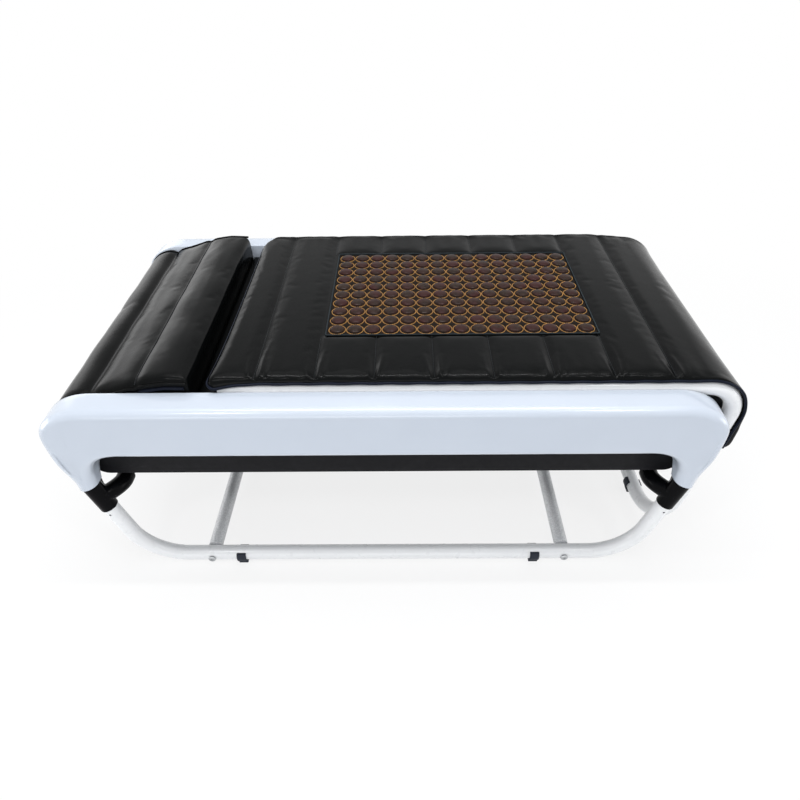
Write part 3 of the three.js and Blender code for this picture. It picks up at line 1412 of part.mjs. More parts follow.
function pulley(end) {
  const bore = boreRadius(PULLEY_SHAFT_R + RUN_GAP, ROUND_SIDES);
  const low = beltY - PULLEY_WIDTH / 2;
  const high = beltY + PULLEY_WIDTH / 2;
  const profile = [[bore, low], [PULLEY_R, low], [PULLEY_R, high], [bore, high], [bore, low]];
  return turnedY(profile, end * pulleyX, pulleyZ, ROUND_SIDES);
}

function pulleyShaft(end, near) {
  const ys = [near, beltY + PULLEY_WIDTH / 2 + CLAMP_SPACE];
  return rodAlongY(end * pulleyX, pulleyZ, ys, PULLEY_SHAFT_R, ROUND_SIDES);
}

const driveFarY = beltY - PULLEY_WIDTH / 2 - CLAMP_SPACE;

function driveMotor() {
  const x = -pulleyX;
  const ys = [driveFarY - MOTOR_LENGTH, driveFarY];
  const can = rodAlongY(x, housingFloorZ + MOTOR_R + CLAMP_SPACE, ys, MOTOR_R, ROUND_SIDES);
  const base = boxAt(around(x, MOTOR_BASE_HALF), ys, [housingFloorZ, pulleyZ]);
  return join([can, base, pulleyShaft(-1, driveFarY - CLAMP_SPACE)]);
}

function idlerBracket() {
  const xs = around(pulleyX, IDLER_BASE_HALF);
  const armTopZ = pulleyZ + PULLEY_R;
  const arm = boxAt(xs, [driveFarY - IDLER_ARM_THICK, driveFarY], [housingFloorZ, armTopZ]);
  const footYs = [driveFarY - 2 * IDLER_BASE_HALF, driveFarY];
  const foot = boxAt(xs, footYs, [housingFloorZ, housingFloorZ + IDLER_ARM_THICK]);
  return join([arm, foot, pulleyShaft(1, driveFarY - CLAMP_SPACE)]);
}

// Control box and power inlet

function controlBox() {
  const xLow = -housingHalfLength + BOX_HEAD_SPACE;
  const topZ = housingFloorZ + BOX_HEIGHT;
  const body = boxAt([xLow, xLow + BOX_LENGTH], around(0, BOX_WIDTH / 2), [housingFloorZ, topZ]);
  const lid = boxAt(
    [xLow + BOX_LID, xLow + BOX_LENGTH - BOX_LID],
    around(0, BOX_WIDTH / 2 - BOX_LID),
    [housingFloorZ, topZ + BOX_LID],
  );
  return join([body, lid]);
}

const inletFaceX = -housingHalfLength - SEAT_GAP - INLET_FLANGE_THICK;
const switchY = INLET_Y + SWITCH_Y_OFFSET;
const switchPivotX = inletFaceX + SWITCH_R - SWITCH_PROUD;

function powerInlet() {
  const half = INLET_WIDTH / 2;
  const high = INLET_HEIGHT / 2;
  const flangeX = -housingHalfLength - SEAT_GAP;
  const front = inletFaceX - OVERRUN;
  const socketBack = inletFaceX + SOCKET_DEPTH;
  const socketY = INLET_Y - SOCKET_Y_OFFSET;
  const flange = boxAt(
    [inletFaceX, flangeX],
    around(INLET_Y, half + INLET_FLANGE),
    around(inletZ, high + INLET_FLANGE),
  );
  const body = boxAt([inletFaceX, flangeX + INLET_DEPTH], around(INLET_Y, half), around(inletZ, high));
  const socket = boxAt(
    [front, socketBack],
    around(socketY, SOCKET_WIDTH / 2),
    around(inletZ, SOCKET_HEIGHT / 2),
  );
  const pocket = boxAt(
    [front, inletFaceX + SWITCH_POCKET_DEPTH],
    around(switchY, SWITCH_WIDTH / 2 + SWITCH_SPACE),
    around(inletZ, SWITCH_HEIGHT / 2 + SWITCH_SWING_SPACE),
  );
  const pins = [-1, 0, 1].map((place) => {
    const z = inletZ + (place === 0 ? PIN_HEIGHT / 2 : -PIN_HEIGHT / 2);
    const xs = [socketBack - PIN_LENGTH, socketBack + PIN_WIDTH];
    return boxAt(xs, around(socketY + place * PIN_SPACING, PIN_WIDTH / 2), around(z, PIN_HEIGHT / 2));
  });
  return join([cut(join([flange, body]), [socket, pocket]), ...pins]);
}

// A rocker with a shallow V face, pivoted in the middle of its pocket and tilted to off.
function powerSwitch() {
  const half = SWITCH_HEIGHT / 2;
  const backShare = 0.6;
  const outline = [
    [-SWITCH_R, half], [SWITCH_PROUD - SWITCH_R, 0], [-SWITCH_R, -half],
    [0, -half], [SWITCH_R * backShare, 0], [0, half],
  ].map(([x, z]) => new THREE.Vector2(x, z));
  const rocker = extrudeY(outlineShape(outline), ...around(switchY, SWITCH_WIDTH / 2));
  const tilt = THREE.MathUtils.degToRad(SWITCH_TILT_DEG);
  return rocker.rotateY(-tilt).translate(switchPivotX, 0, inletZ);
}

// Assembly

const bed = new THREE.Group();

function add(name, geometry, material) {
  const mesh = new THREE.Mesh(closed(geometry), material);
  mesh.name = name;
  bed.add(mesh);
}

const sides = [['front', -1], ['rear', 1]];
const ends = [['head', -1], ['foot', 1]];

sides.forEach(([sideName, side]) => {
  add(`${sideName}_base_rail`, baseRail(side), tubeWhite);
  add(`${sideName}_side_cover`, sideCover(side), glossWhite);
  add(`${sideName}_side_beam`, sideBeam(side), steel);
  add(`${sideName}_carriage_rail`, carriageRail(side), steel);
  add(`${sideName}_guide_block`, guideBlock(side), greyPlastic);
  add(`${sideName}_slide_glide`, slideGlide(side), satinBlack);
  const legFoot = clipFoot(slideFootX, side * slideFootY, false, slideTubeR, new THREE.Vector2(1, 0));
  add(`${sideName}_leg_section_foot`, legFoot, rubberDark);
  ends.forEach(([endName, end]) => {
    const foot = clipFoot(end * footX, side * baseRailY, true, baseTubeR, new THREE.Vector2(0, -side));
    add(`${sideName}_${endName}_foot_pad`, foot, rubberDark);
    add(`${sideName}_${endName}_bolt`, crossBarBolt(side, end), steel);
    add(`${sideName}_${endName}_leg_joint`, legJoint(end, side), glossBlack);
  });
  ['inner', 'outer'].forEach((place, index) => {
    add(`${sideName}_${place}_guide_wheel`, guideWheel(side, index), greyPlastic);
  });
});

ends.forEach(([endName, end]) => {
  add(`${endName}_cross_bar`, crossBar(end), hammeredGrey);
  add(`${endName}_stretcher_tube`, stretcherTube(end), tubeWhite);
  add(`${endName}_end_panel`, endPanel(end), glossWhite);
  add(`${endName}_carriage_wheels`, wheelSet(end), steel);
  add(`${endName}_jade_rollers`, jadeRollers(end), jade);
});

add('lower_housing', lowerHousing(), satinBlack);
add('deck_board', deckBoard(), board);
add('main_mat', mainMat(), leatherBlack);
add('roller_slot_cover', rollerSlotCover(), fabricBlack);
add('head_mat', headMat(), leatherBlack);
add('carriage_plate', carriagePlate(), steel);
add('lift_motor', liftMotor(), steel);
add('roller_cradle', rollerCradle(), steel);
add('drive_motor', driveMotor(), steel);
add('drive_pulley', pulley(-1), steel);
add('idler_pulley', pulley(1), steel);
add('idler_bracket', idlerBracket(), steel);
add('drive_belt', belt(), rubberDark);
add('control_box', controlBox(), satinBlack);
add('power_inlet', powerInlet(), satinBlack);
add('power_switch', powerSwitch(), glossBlack);
add('leg_frame', legFrame(), tubeWhite);
add('leg_deck', legDeck(), board);
add('leg_mat', legMat(), leatherBlack);
add('stone_panel', stonePanel(), stoneBrown);

// The whole object stands centred over its origin
const bounds = new THREE.Box3().setFromObject(bed);
bed.position.x = -(bounds.min.x + bounds.max.x) / 2;

export default bed;
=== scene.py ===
"""Looks of the thermal massage bed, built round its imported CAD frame.

Shapes are worked out in millimetres along the bed's own middle and moved into the frame when each mesh
is made. +X is the foot end, -Y the front, +Z up.
"""

import json
import math

import bmesh
import bpy
import numpy as np
from mathutils import Matrix, Vector


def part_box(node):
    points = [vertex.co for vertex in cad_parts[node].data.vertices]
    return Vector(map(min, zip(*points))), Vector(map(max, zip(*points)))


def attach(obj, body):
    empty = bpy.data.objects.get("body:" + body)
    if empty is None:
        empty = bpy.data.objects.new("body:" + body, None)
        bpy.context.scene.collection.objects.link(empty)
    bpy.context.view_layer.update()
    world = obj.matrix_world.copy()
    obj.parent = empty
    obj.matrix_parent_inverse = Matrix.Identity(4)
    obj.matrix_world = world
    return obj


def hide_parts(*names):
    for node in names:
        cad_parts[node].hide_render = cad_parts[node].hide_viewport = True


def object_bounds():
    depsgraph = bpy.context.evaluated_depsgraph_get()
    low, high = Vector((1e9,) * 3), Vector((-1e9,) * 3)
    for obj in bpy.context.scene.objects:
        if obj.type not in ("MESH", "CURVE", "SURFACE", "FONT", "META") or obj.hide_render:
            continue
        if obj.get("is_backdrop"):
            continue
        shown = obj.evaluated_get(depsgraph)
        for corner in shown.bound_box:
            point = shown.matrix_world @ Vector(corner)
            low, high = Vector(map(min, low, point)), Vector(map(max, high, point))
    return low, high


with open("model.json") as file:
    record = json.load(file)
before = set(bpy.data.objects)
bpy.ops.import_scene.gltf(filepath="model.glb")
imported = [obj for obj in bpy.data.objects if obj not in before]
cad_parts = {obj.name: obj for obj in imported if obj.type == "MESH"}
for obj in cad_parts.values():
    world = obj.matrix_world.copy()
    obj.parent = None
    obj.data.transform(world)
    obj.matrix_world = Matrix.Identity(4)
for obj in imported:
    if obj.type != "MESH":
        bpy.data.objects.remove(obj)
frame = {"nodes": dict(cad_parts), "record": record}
cad_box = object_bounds()
SCENE = bpy.context.scene
MM = 0.001
HALF_TURN = math.pi
QUARTER = math.pi / 2
SIDES = ((-1, "front"), (1, "rear"))
ENDS = ((-1, "head"), (1, "foot"))
CORNERS = [(side, end, f"{side_name}_{end_name}") for side, side_name in SIDES for end, end_name in ENDS]

# The middle of the body lies a little off the middle of the whole bed.
house_low, house_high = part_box("lower_housing")
SHIFT = (house_low.x + house_high.x) / 2

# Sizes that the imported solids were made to, in millimetres. SEAT is the gap between seated pieces.
SEAT = 0.3
TUBE_R, BASE_Y, BASE_Z = 16.0, 317.0, 23.0
TILT, LEG_BEND_R, TIP_X, TIP_Z = math.radians(15), 111.0, 586.5, 250.0
CROSS_X, CROSS_R, FOOT_X = 387.0, 15.0, 322.0
STRETCHER_X, STRETCHER_Z, STRETCHER_R = 546.0, 212.0, 14.0
DECK_HALF, DECK_Y, DECK_Z = 548.0, 292.7, 425.0
PANEL_R, PANEL_DROP = 45.0, 38.0
RAIL_HEAD_X, RAIL_Y, RAIL_Z = -296.0, 275.0, 455.0
BEND_X, BEND_R, LEG_TILT = 588.0, 60.0, math.radians(7.5)
BEND_RUN = BEND_R * (QUARTER + LEG_TILT)
STONE_X, STONE_Y = 152.0, 20.0
PITCH_X, PITCH_Y, COLUMNS, ROWS = 34.8, 33.4, 15, 10
PANEL_HALF_X, PANEL_HALF_Y = COLUMNS * PITCH_X / 2 + 2, ROWS * PITCH_Y / 2 + 2


# Mesh helpers


def tune(thing, **settings):
    """Sets several values of one thing."""
    for key, value in settings.items():
        setattr(thing, key, value)
    return thing


def modifier(obj, kind, **settings):
    return tune(obj.modifiers.new(kind.lower(), kind), **settings)


def linked(name, data):
    obj = bpy.data.objects.new(name, data)
    SCENE.collection.objects.link(obj)
    return obj


def read_points(mesh):
    points = np.empty(len(mesh.vertices) * 3, np.float32)
    mesh.vertices.foreach_get("co", points)
    return points.reshape(-1, 3)


def write_points(mesh, points):
    mesh.vertices.foreach_set("co", points.ravel())
    mesh.update()


def raw(name, points, faces, merge=True):
    """A closed mesh from millimetres along the bed, with its faces turned outwards."""
    where = np.asarray(points, float).reshape(-1, 3) * MM
    where[:, 0] += SHIFT
    mesh = bpy.data.meshes.new(name)
    mesh.from_pydata(where.tolist(), [], [tuple(int(i) for i in face) for face in faces])
    work = bmesh.new()
    work.from_mesh(mesh)
    if merge:
        bmesh.ops.remove_doubles(work, verts=work.verts, dist=1e-6)
    bmesh.ops.recalc_face_normals(work, faces=work.faces)
    work.to_mesh(mesh)
    work.free()
    return linked(name, mesh)


def settle(obj):
    """Puts the result of the modifiers into the mesh."""
    bpy.context.view_layer.update()
    graph = bpy.context.evaluated_depsgraph_get()
    mesh = bpy.data.meshes.new_from_object(obj.evaluated_get(graph), depsgraph=graph)
    old = obj.data
    obj.modifiers.clear()
    obj.data = mesh
    bpy.data.meshes.remove(old)
    mesh.name = obj.name


def combine(target, other, operation="DIFFERENCE"):
    """Cuts the other solid out of the target, or joins it on, and deletes it."""
    modifier(target, "BOOLEAN", operation=operation, solver="EXACT", object=other)
    settle(target)
    mesh = other.data
    bpy.data.objects.remove(other)
    bpy.data.meshes.remove(mesh)


def soft_edges(obj, width, segments, angle):
    modifier(obj, "BEVEL", width=width * MM, segments=segments, limit_method="ANGLE",
             angle_limit=math.radians(angle))


def bevel(obj, width, segments=2, angle=50):
    soft_edges(obj, width, segments, angle)
    settle(obj)


def mirrored(obj, name, flip_x=False, flip_y=False):
    """A copy on the other side of the bed's middle planes."""
    copy = linked(name, obj.data.copy())
    points = read_points(copy.data)
    if flip_x:
        points[:, 0] = 2 * SHIFT - points[:, 0]
    if flip_y:
        points[:, 1] = -points[:, 1]
    write_points(copy.data, points)
    if flip_x != flip_y:
        copy.data.flip_normals()
    return copy


def unit(vectors):
    return vectors / np.linalg.norm(vectors, axis=-1, keepdims=True)


def full_circle(count):
    return np.arange(count) * 2 * HALF_TURN / count


def spokes(count, side, up):
    """Unit directions all round, from one direction through another."""
    turns = full_circle(count)[:, None]
    return np.cos(turns) * side + np.sin(turns) * up


def ring_faces(count, sides, closed=False):
    """The faces between rings of points, with a cap at both ends unless the last ring joins the first."""
    near = np.arange(count * sides).reshape(count, sides)
    if closed:
        near = np.vstack([near, near[:1]])
    far = np.roll(near, -1, axis=1)
    faces = np.stack([near[:-1], far[:-1], far[1:], near[1:]], axis=-1).reshape(-1, 4).tolist()
    return faces if closed else [*faces, range(sides), range((count - 1) * sides, count * sides)]


def sweep(name, path, radius, sides, closed=False):
    """A round bar along a path, with each ring turned as little as it can be from the one before."""
    path = np.array([path[-1], *path, path[0]] if closed else path, float)
    steps = unit(np.diff(path, axis=0))
    ways = unit(np.vstack([steps[:1], (steps[1:] + steps[:-1]) / 2, steps[-1:]]))
    side = np.cross(ways[0], [0.0, 0.0, 1.0])
    if np.linalg.norm(side) < 0.1:
        side = np.cross(ways[0], [0.0, 1.0, 0.0])
    side = unit(side)
    rings = []
    for point, way in zip(path, ways):
        side = unit(side - way * (side @ way))
        rings.append(point + radius * spokes(sides, side, np.cross(side, way)))
    if closed:
        rings = rings[1:-1]
    return raw(name, rings, ring_faces(len(rings), sides, closed))


def lathe(name, profile, start, way, sides):
    """A profile of (radius, distance) pairs turned about a line from start."""
    way = np.asarray(way, float)
    side = unit(np.cross(way, [0.3, 0.2, 0.9]))
    ring = spokes(sides, side, np.cross(way, side))
    rings = [start + way * along + radius * ring for radius, along in profile]
    return raw(name, rings, ring_faces(len(rings), sides))


def extrude(name, outline, low, high, axis):
    """An outline of two coordinates run along the third, with axis 0, 1 or 2."""
    layers = [np.insert(np.array(outline, float), axis, level, axis=1) for level in (low, high)]
    return raw(name, layers, ring_faces(2, len(outline)))


def block(name, xs, ys, zs):
    return extrude(name, [(xs[0], ys[0]), (xs[1], ys[0]), (xs[1], ys[1]), (xs[0], ys[1])], *zs, 2)


def stack(x, y, z):
    return np.stack(np.broadcast_arrays(x, y, z), axis=-1)


def slab(name, us, vs, upper, lower, keep=None):
    """A closed sheet between two surfaces over the same rows and columns. keep(u, v) says which cells
    it has, by their middles. Returns the object, its points' rows and columns, and which are on top."""
    us, vs = (np.unique(np.round(np.asarray(values, float), 4)) for values in (us, vs))
    grid_u, grid_v = np.meshgrid(us, vs, indexing="ij")
    cells = np.ones((len(us) - 1, len(vs) - 1), bool)
    if keep is not None:
        cells = keep(*np.meshgrid((us[1:] + us[:-1]) / 2, (vs[1:] + vs[:-1]) / 2, indexing="ij"))
    taken = np.pad(cells, 1)
    total, columns = grid_u.size, len(vs)
    faces = []
    for i, j in zip(*np.nonzero(cells)):
        a, b = i * columns + j, (i + 1) * columns + j
        faces.append((a, b, b + 1, a + 1))
        faces.append((a + total, a + 1 + total, b + 1 + total, b + total))
        edges = (
            (taken[i, j + 1], a, a + 1),
            (taken[i + 2, j + 1], b + 1, b),
            (taken[i + 1, j], b, a),
            (taken[i + 1, j + 2], a + 1, b + 1),
        )
        faces += [(p, q, q + total, p + total) for joined, p, q in edges if not joined]
    faces = np.array(faces)
    used = np.zeros(2 * total, bool)
    used[faces] = True
    number = np.cumsum(used) - 1
    points = np.stack([upper(grid_u, grid_v), lower(grid_u, grid_v)]).reshape(-1, 3)[used]
    obj = raw(name, points, number[faces], merge=False)
    flat_u, flat_v = (np.tile(grid.ravel(), 2)[used] for grid in (grid_u, grid_v))
    return obj, flat_u, flat_v, (np.arange(2 * total) < total)[used]


def plan_sheet(name, xs, ys, top, low, keep=None):
    """A sheet between two heights over a plan of rows and columns."""

    def at(height):
        return lambda x, y: stack(x, y, height(x, y))

    return slab(name, xs, ys, at(top), at(low), keep)[0]


# Curves and sums


def arc(start, along, towards, radius, angle, steps):
    """Points round an arc that leaves start along one direction and turns towards another."""
    start, along, towards = (np.asarray(v, float) for v in (start, along, towards))
    middle = start + towards * radius
    turns = np.linspace(0, angle, steps + 1)
    return [middle - towards * radius * math.cos(t) + along * radius * math.sin(t) for t in turns]


def lerp(a, b, share):
    return a + (b - a) * share


def bezier(points, steps):
    """Points along one curve of any degree."""
    shares = np.linspace(0, 1, steps + 1)[:, None]
    points = [np.asarray(p, float) + 0 * shares for p in points]
    while len(points) > 1:
        points = [lerp(a, b, shares) for a, b in zip(points, points[1:])]
    return points[0]


def smoothstep(value, low, high):
    share = np.clip((np.asarray(value, float) - low) / (high - low), 0, 1)
    return share * share * (3 - 2 * share)


def round_edge(distance, reach):
    """The height of a quarter round, from nothing at its edge to one at its reach."""
    share = np.clip(distance / reach, 0, 1)
    return np.sqrt(np.clip(1 - (1 - share) ** 2, 0, 1))


def hump(distance, width):
    return np.exp(-((distance / width) ** 2))


def around(middle, half):
    return middle - half, middle + half


# Materials

PAINTS = {}


def put(tree, socket, value):
    """Links a socket to another node's output, or sets it to a constant."""
    if isinstance(value, bpy.types.NodeSocket):
        tree.links.new(value, socket)
    elif socket.type == "RGBA":
        socket.default_value = (*value, 1)
    else:
        socket.default_value = value


def add_node(tree, kind, inputs=(), **settings):
    made = tune(tree.nodes.new("ShaderNode" + kind), **settings)
    for key, value in dict(inputs).items():
        put(tree, made.inputs[key], value)
    return made


def maths(tree, operation, first, second):
    return add_node(tree, "Math", {0: first, 1: second}, operation=operation).outputs[0]


def white_rays(tree):
    """One for the rays that see the white of the room: those of the camera, gloss and clear things."""
    path = add_node(tree, "LightPath").outputs
    seen = maths(tree, "MAXIMUM", path["Is Camera Ray"], path["Is Glossy Ray"])
    return maths(tree, "MAXIMUM", seen, path["Is Transmission Ray"])


class Paint:
    """One material being built, with short calls for its nodes."""

    def __init__(self, name, **settings):
        material = bpy.data.materials.new(name)
        material.use_nodes = True
        self.tree = material.node_tree
        self.shader = self.tree.nodes["Principled BSDF"]
        self.where = self.node("TexCoord").outputs["Object"]
        for key, value in settings.items():
            self.use(key.replace("_", " "), value)
        PAINTS[name] = material

    def use(self, socket, value):
        put(self.tree, self.shader.inputs[socket], value)

    def node(self, kind, inputs=(), **settings):
        return add_node(self.tree, kind, inputs, **settings)

    def stretched(self, x, y, z):
        return self.node("Mapping", {"Vector": self.where, "Scale": (x, y, z)}).outputs["Vector"]

    def noise(self, scale, detail=3.0, roughness=0.55, vector=None):
        inputs = {"Vector": vector or self.where, "Scale": scale, "Detail": detail, "Roughness": roughness}
        return self.node("TexNoise", inputs).outputs["Fac"]

    def cells(self, scale, smooth):
        inputs = {"Vector": self.where, "Scale": scale, "Smoothness": smooth}
        return self.node("TexVoronoi", inputs, feature="SMOOTH_F1").outputs["Distance"]

    def waves(self, scale, direction):
        inputs = {"Vector": self.where, "Scale": scale}
        return self.node("TexWave", inputs, bands_direction=direction).outputs["Fac"]

    def spread(self, value, low, high, from_low=0.25, from_high=0.75):
        inputs = {"Value": value, "From Min": from_low, "From Max": from_high, "To Min": low, "To Max": high}
        return self.node("MapRange", inputs).outputs["Result"]

    def blend(self, share, first, second):
        return self.node("Mix", {0: share, 6: first, 7: second}, data_type="RGBA").outputs[2]

    def tone(self, share, first, second):
        self.use("Base Color", self.blend(share, first, second))

    def roughen(self, share, low, high):
        self.use("Roughness", self.spread(share, low, high))

    def bump(self, height, distance, strength, below=None):
        inputs = {"Height": height, "Distance": distance, "Strength": strength}
        if below is not None:
            inputs["Normal"] = below
        normal = self.node("Bump", inputs).outputs["Normal"]
        self.use("Normal", normal)
        return normal


def gloss_white():
    paint = Paint("gloss_white", Coat_Weight=0.4, Coat_Roughness=0.16, IOR=1.48)
    paint.tone(paint.noise(9, 4), (0.548, 0.602, 0.685), (0.582, 0.636, 0.72))
    paint.roughen(paint.noise(40, 5), 0.16, 0.24)
    paint.bump(paint.noise(120, 2), 0.0002, 0.12)


def tube_white():
    paint = Paint("tube_white", Coat_Weight=0.25, Coat_Roughness=0.12)
    paint.tone(paint.noise(14, 2), (0.845, 0.852, 0.86), (0.86, 0.867, 0.875))
    paint.roughen(paint.noise(60, 4), 0.26, 0.31)
    paint.bump(paint.noise(500, 2), 0.00003, 0.2)


def hammered_grey():
    paint = Paint("hammered_grey", Metallic=0.1)
    lumps = paint.cells(330, 0.35)
    paint.tone(paint.spread(lumps, 0.0, 1.0, 0.1, 0.7), (0.92, 0.93, 0.94), (0.70, 0.71, 0.72))
    paint.roughen(paint.noise(500, 3), 0.26, 0.42)
    paint.bump(paint.noise(700, 2), 0.0001, 0.3, paint.bump(lumps, 0.0006, 0.9))


def dark_plastic(name, low, high, smooth, rough, grain, gleam=0.25):
    paint = Paint(name, Specular_IOR_Level=gleam)
    paint.tone(paint.noise(30, 5), low, high)
    paint.roughen(paint.noise(90, 4), smooth, rough)
    paint.bump(paint.noise(grain, 3), 0.0001, 0.5)


def leather(name, low, high, smooth, rough):
    """Grained artificial leather: small pebbles with softer folds under them."""
    paint = Paint(name, Specular_IOR_Level=0.07)
    pebbles = paint.cells(780, 0.25)
    paint.tone(paint.spread(pebbles, 0.0, 1.0, 0.1, 0.6), high, low)
    paint.roughen(paint.noise(36, 5), smooth, rough)
    folds = paint.bump(paint.noise(34, 4, 0.5), 0.0014, 0.24)
    creases = paint.bump(paint.noise(210, 4, 0.6), 0.0003, 0.35, folds)
    paint.bump(pebbles, 0.00014, 0.55, creases)


def woven(name, low, high, pitch):
    """Plain woven cloth with a thread pitch in metres."""
    paint = Paint(name, Sheen_Weight=0.02, Sheen_Roughness=0.5, Specular_IOR_Level=0.06)
    scale = HALF_TURN / (10 * pitch)
    threads = maths(paint.tree, "MULTIPLY", paint.waves(scale, "X"), paint.waves(scale, "Y"))
    fleck = maths(paint.tree, "MULTIPLY", threads, paint.spread(paint.noise(400, 4), 0.7, 1.0))
    paint.tone(fleck, low, high)
    paint.roughen(paint.noise(60, 4), 0.77, 0.9)
    paint.bump(threads, 0.0003, 0.6, paint.bump(paint.noise(30, 4), 0.0008, 0.25))


def stones():
    paint = Paint("stones", Specular_IOR_Level=0.09)
    veins = paint.spread(paint.noise(190, 6, 0.65), 0.0, 1.0, 0.35, 0.65)
    brown = paint.blend(veins, (0.014, 0.008, 0.006), (0.038, 0.022, 0.016))
    paint.tone(paint.spread(paint.noise(26, 2), 0.0, 0.7, 0.42, 0.62), brown, (0.044, 0.012, 0.012))
    paint.roughen(paint.noise(120, 4), 0.09, 0.17)
    paint.bump(paint.noise(420, 4), 0.0002, 0.4)


def gold_thread():
    paint = Paint("gold_thread", Sheen_Weight=0.1, Specular_IOR_Level=0.3)
    paint.tone(paint.noise(700, 3), (0.36, 0.165, 0.034), (0.56, 0.29, 0.072))
    paint.roughen(paint.noise(500, 3), 0.45, 0.62)
    paint.bump(paint.waves(420, "DIAGONAL"), 0.0003, 0.6)


def steel():
    paint = Paint("steel", Metallic=0.95)
    grain = paint.noise(60, 5, 0.6, paint.stretched(1, 30, 30))
    paint.tone(grain, (0.42, 0.435, 0.45), (0.55, 0.56, 0.57))
    paint.roughen(grain, 0.24, 0.4)
    paint.bump(grain, 0.00008, 0.4)


def wood_board():
    paint = Paint("board")
    grain = paint.noise(7, 6, 0.6, paint.stretched(1.2, 22, 22))
    paint.tone(grain, (0.24, 0.14, 0.07), (0.42, 0.28, 0.15))
    paint.roughen(grain, 0.6, 0.78)
    paint.bump(grain, 0.0003, 0.5)


def jade():
    paint = Paint("jade", Coat_Weight=0.6, Coat_Roughness=0.08, Subsurface_Weight=0.15)
    paint.use("Subsurface Radius", (0.004, 0.006, 0.004))
    veins = paint.spread(paint.noise(38, 7, 0.62), 0.0, 1.0, 0.35, 0.65)
    paint.tone(veins, (0.035, 0.12, 0.065), (0.16, 0.34, 0.20))
    paint.roughen(paint.noise(80, 3), 0.14, 0.24)


def pale_floor():
    """A pale floor that fades into the white of the room, and keeps the bed's shadow near it."""
    paint = Paint("floor")
    paint.tone(paint.noise(3, 3), (0.93, 0.93, 0.93), (0.95, 0.95, 0.95))
    paint.roughen(paint.noise(12, 3), 0.75, 0.85)
    away = paint.node("VectorMath", {0: paint.stretched(0.72, 1, 0)}, operation="LENGTH").outputs["Value"]
    fade = maths(paint.tree, "MULTIPLY", white_rays(paint.tree), paint.spread(away, 0.8, 1, 0.45, 1.5))
    white = paint.node("Emission", {"Color": (1, 1, 1), "Strength": 1.0}).outputs[0]
    mix = paint.node("MixShader", {0: fade, 1: paint.shader.outputs[0], 2: white}).outputs[0]
    put(paint.tree, paint.tree.nodes["Material Output"].inputs["Surface"], mix)


gloss_white()
tube_white()
hammered_grey()
dark_plastic("gloss_black", (0.002, 0.002, 0.0025), (0.004, 0.004, 0.005), 0.14, 0.22, 300, 0.06)
dark_plastic("satin_black", (0.005, 0.005, 0.006), (0.010, 0.010, 0.012), 0.42, 0.55, 1100, 0.08)
# The next paint is painted shade: the blue-grey of a pale panel in shadow, used on the foot end cap.
dark_plastic("painted_shade_blue", (0.085, 0.105, 0.150), (0.120, 0.145, 0.200), 0.34, 0.46, 900)
dark_plastic("black_board", (0.007, 0.008, 0.011), (0.014, 0.016, 0.022), 0.5, 0.62, 700, 0.2)
dark_plastic("grey_plastic", (0.30, 0.31, 0.32), (0.38, 0.39, 0.40), 0.36, 0.5, 1200)
dark_plastic("rubber_dark", (0.014, 0.017, 0.026), (0.026, 0.030, 0.042), 0.62, 0.78, 1400)
leather("leather_black", (0.0018, 0.0021, 0.0022), (0.0050, 0.0056, 0.0058), 0.10, 0.19)
leather("piping", (0.005, 0.007, 0.014), (0.014, 0.018, 0.032), 0.28, 0.40)
# Seam cords: the stitching, in a tone lighter than the leather that is a painted highlight along each seam
# line.
leather("seam", (0.009, 0.010, 0.011), (0.018, 0.020, 0.022), 0.30, 0.42)
woven("fabric_black", (0.006, 0.006, 0.008), (0.020, 0.020, 0.023), 0.0011)
woven("stone_fabric", (0.008, 0.006, 0.005), (0.024, 0.019, 0.015), 0.0008)
woven("border_fabric", (0.020, 0.026, 0.030), (0.045, 0.056, 0.062), 0.0008)
stones()
gold_thread()
steel()
wood_board()
jade()
pale_floor()

# Paints whose slot has another name
SLOT_OF = {
    # The foot end cap's painted-shade blue-grey keeps the satin black slot.
    "painted_shade_blue": "satin_black",
    "piping": "leather_black",
    # The seam cords' lighter tone is a painted highlight.
    "seam": "leather_black",
    "border_fabric": "stone_fabric",
    "stones": "stone_fabric",
    "gold_thread": "stone_fabric",
}


def coat(obj, paint):
    obj.data.materials.clear()
    obj.data.materials.append(PAINTS[paint])


def dress(obj, paint, body="bed", node=None, angle=38):
    """Finishes a piece: its paint, the node it stands for, the body it rides, and smooth faces
    with a crease wherever two of them meet at more than the angle."""
    coat(obj, paint)
    mesh = obj.data
    mesh.polygons.foreach_set("use_smooth", np.ones(len(mesh.polygons), bool))
    mesh.set_sharp_from_angle(angle=math.radians(angle))
    mesh.update()
    if node:
        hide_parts(node)
    SLOT_OF.get(paint, paint)
    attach(obj, body)


# Solids that stay as they were packed, with softer edges and their own materials

for part in frame["record"]["subparts"]:
    packed = frame["nodes"][part["node"]]
    coat(packed, part["material_slot"])
    modifier(packed, "WELD", merge_threshold=0.00001)
    soft_edges(packed, 0.6, 2, 40)


# Tube frame of the base

SCREW_DOWN, SCREW_HOLE_R, SCREW_HOLE_DEPTH = 81.3, 2.5, 2.5
SCREW_DEPTH, HEX_HALF = 2.4, 0.7
SCREW_PROFILE = ((2.2, 0), (2.3, 0.6), (1.9, 1.1), (1.0, 1.25))
DRILL_LENGTH = 12
BOLT_PROFILE = ((8, 0), (8.1, 0.55), (8, 2.2), (7.6, 3.1), (6.7, 3.8), (5, 4.3), (2.5, 4.5), (0.01, 4.5))
RECESS_LONG, RECESS_WIDE, RECESS_IN, RECESS_OUT = 8, 1.6, 2.5, 6
CLIP_R, CLIP_PAD, CLIP_HALF, CLIP_HIGH, CLIP_LOW = 19.8, 12.0, 10, 12, 2
SLEEVE_R, SLEEVE_LENGTH = 18.3, 69.0
ARM_R, ARM_MOUTH_Y, ARM_BEND_Y, ARM_HANDLE = 18.0, 253.0, 269.0, 18
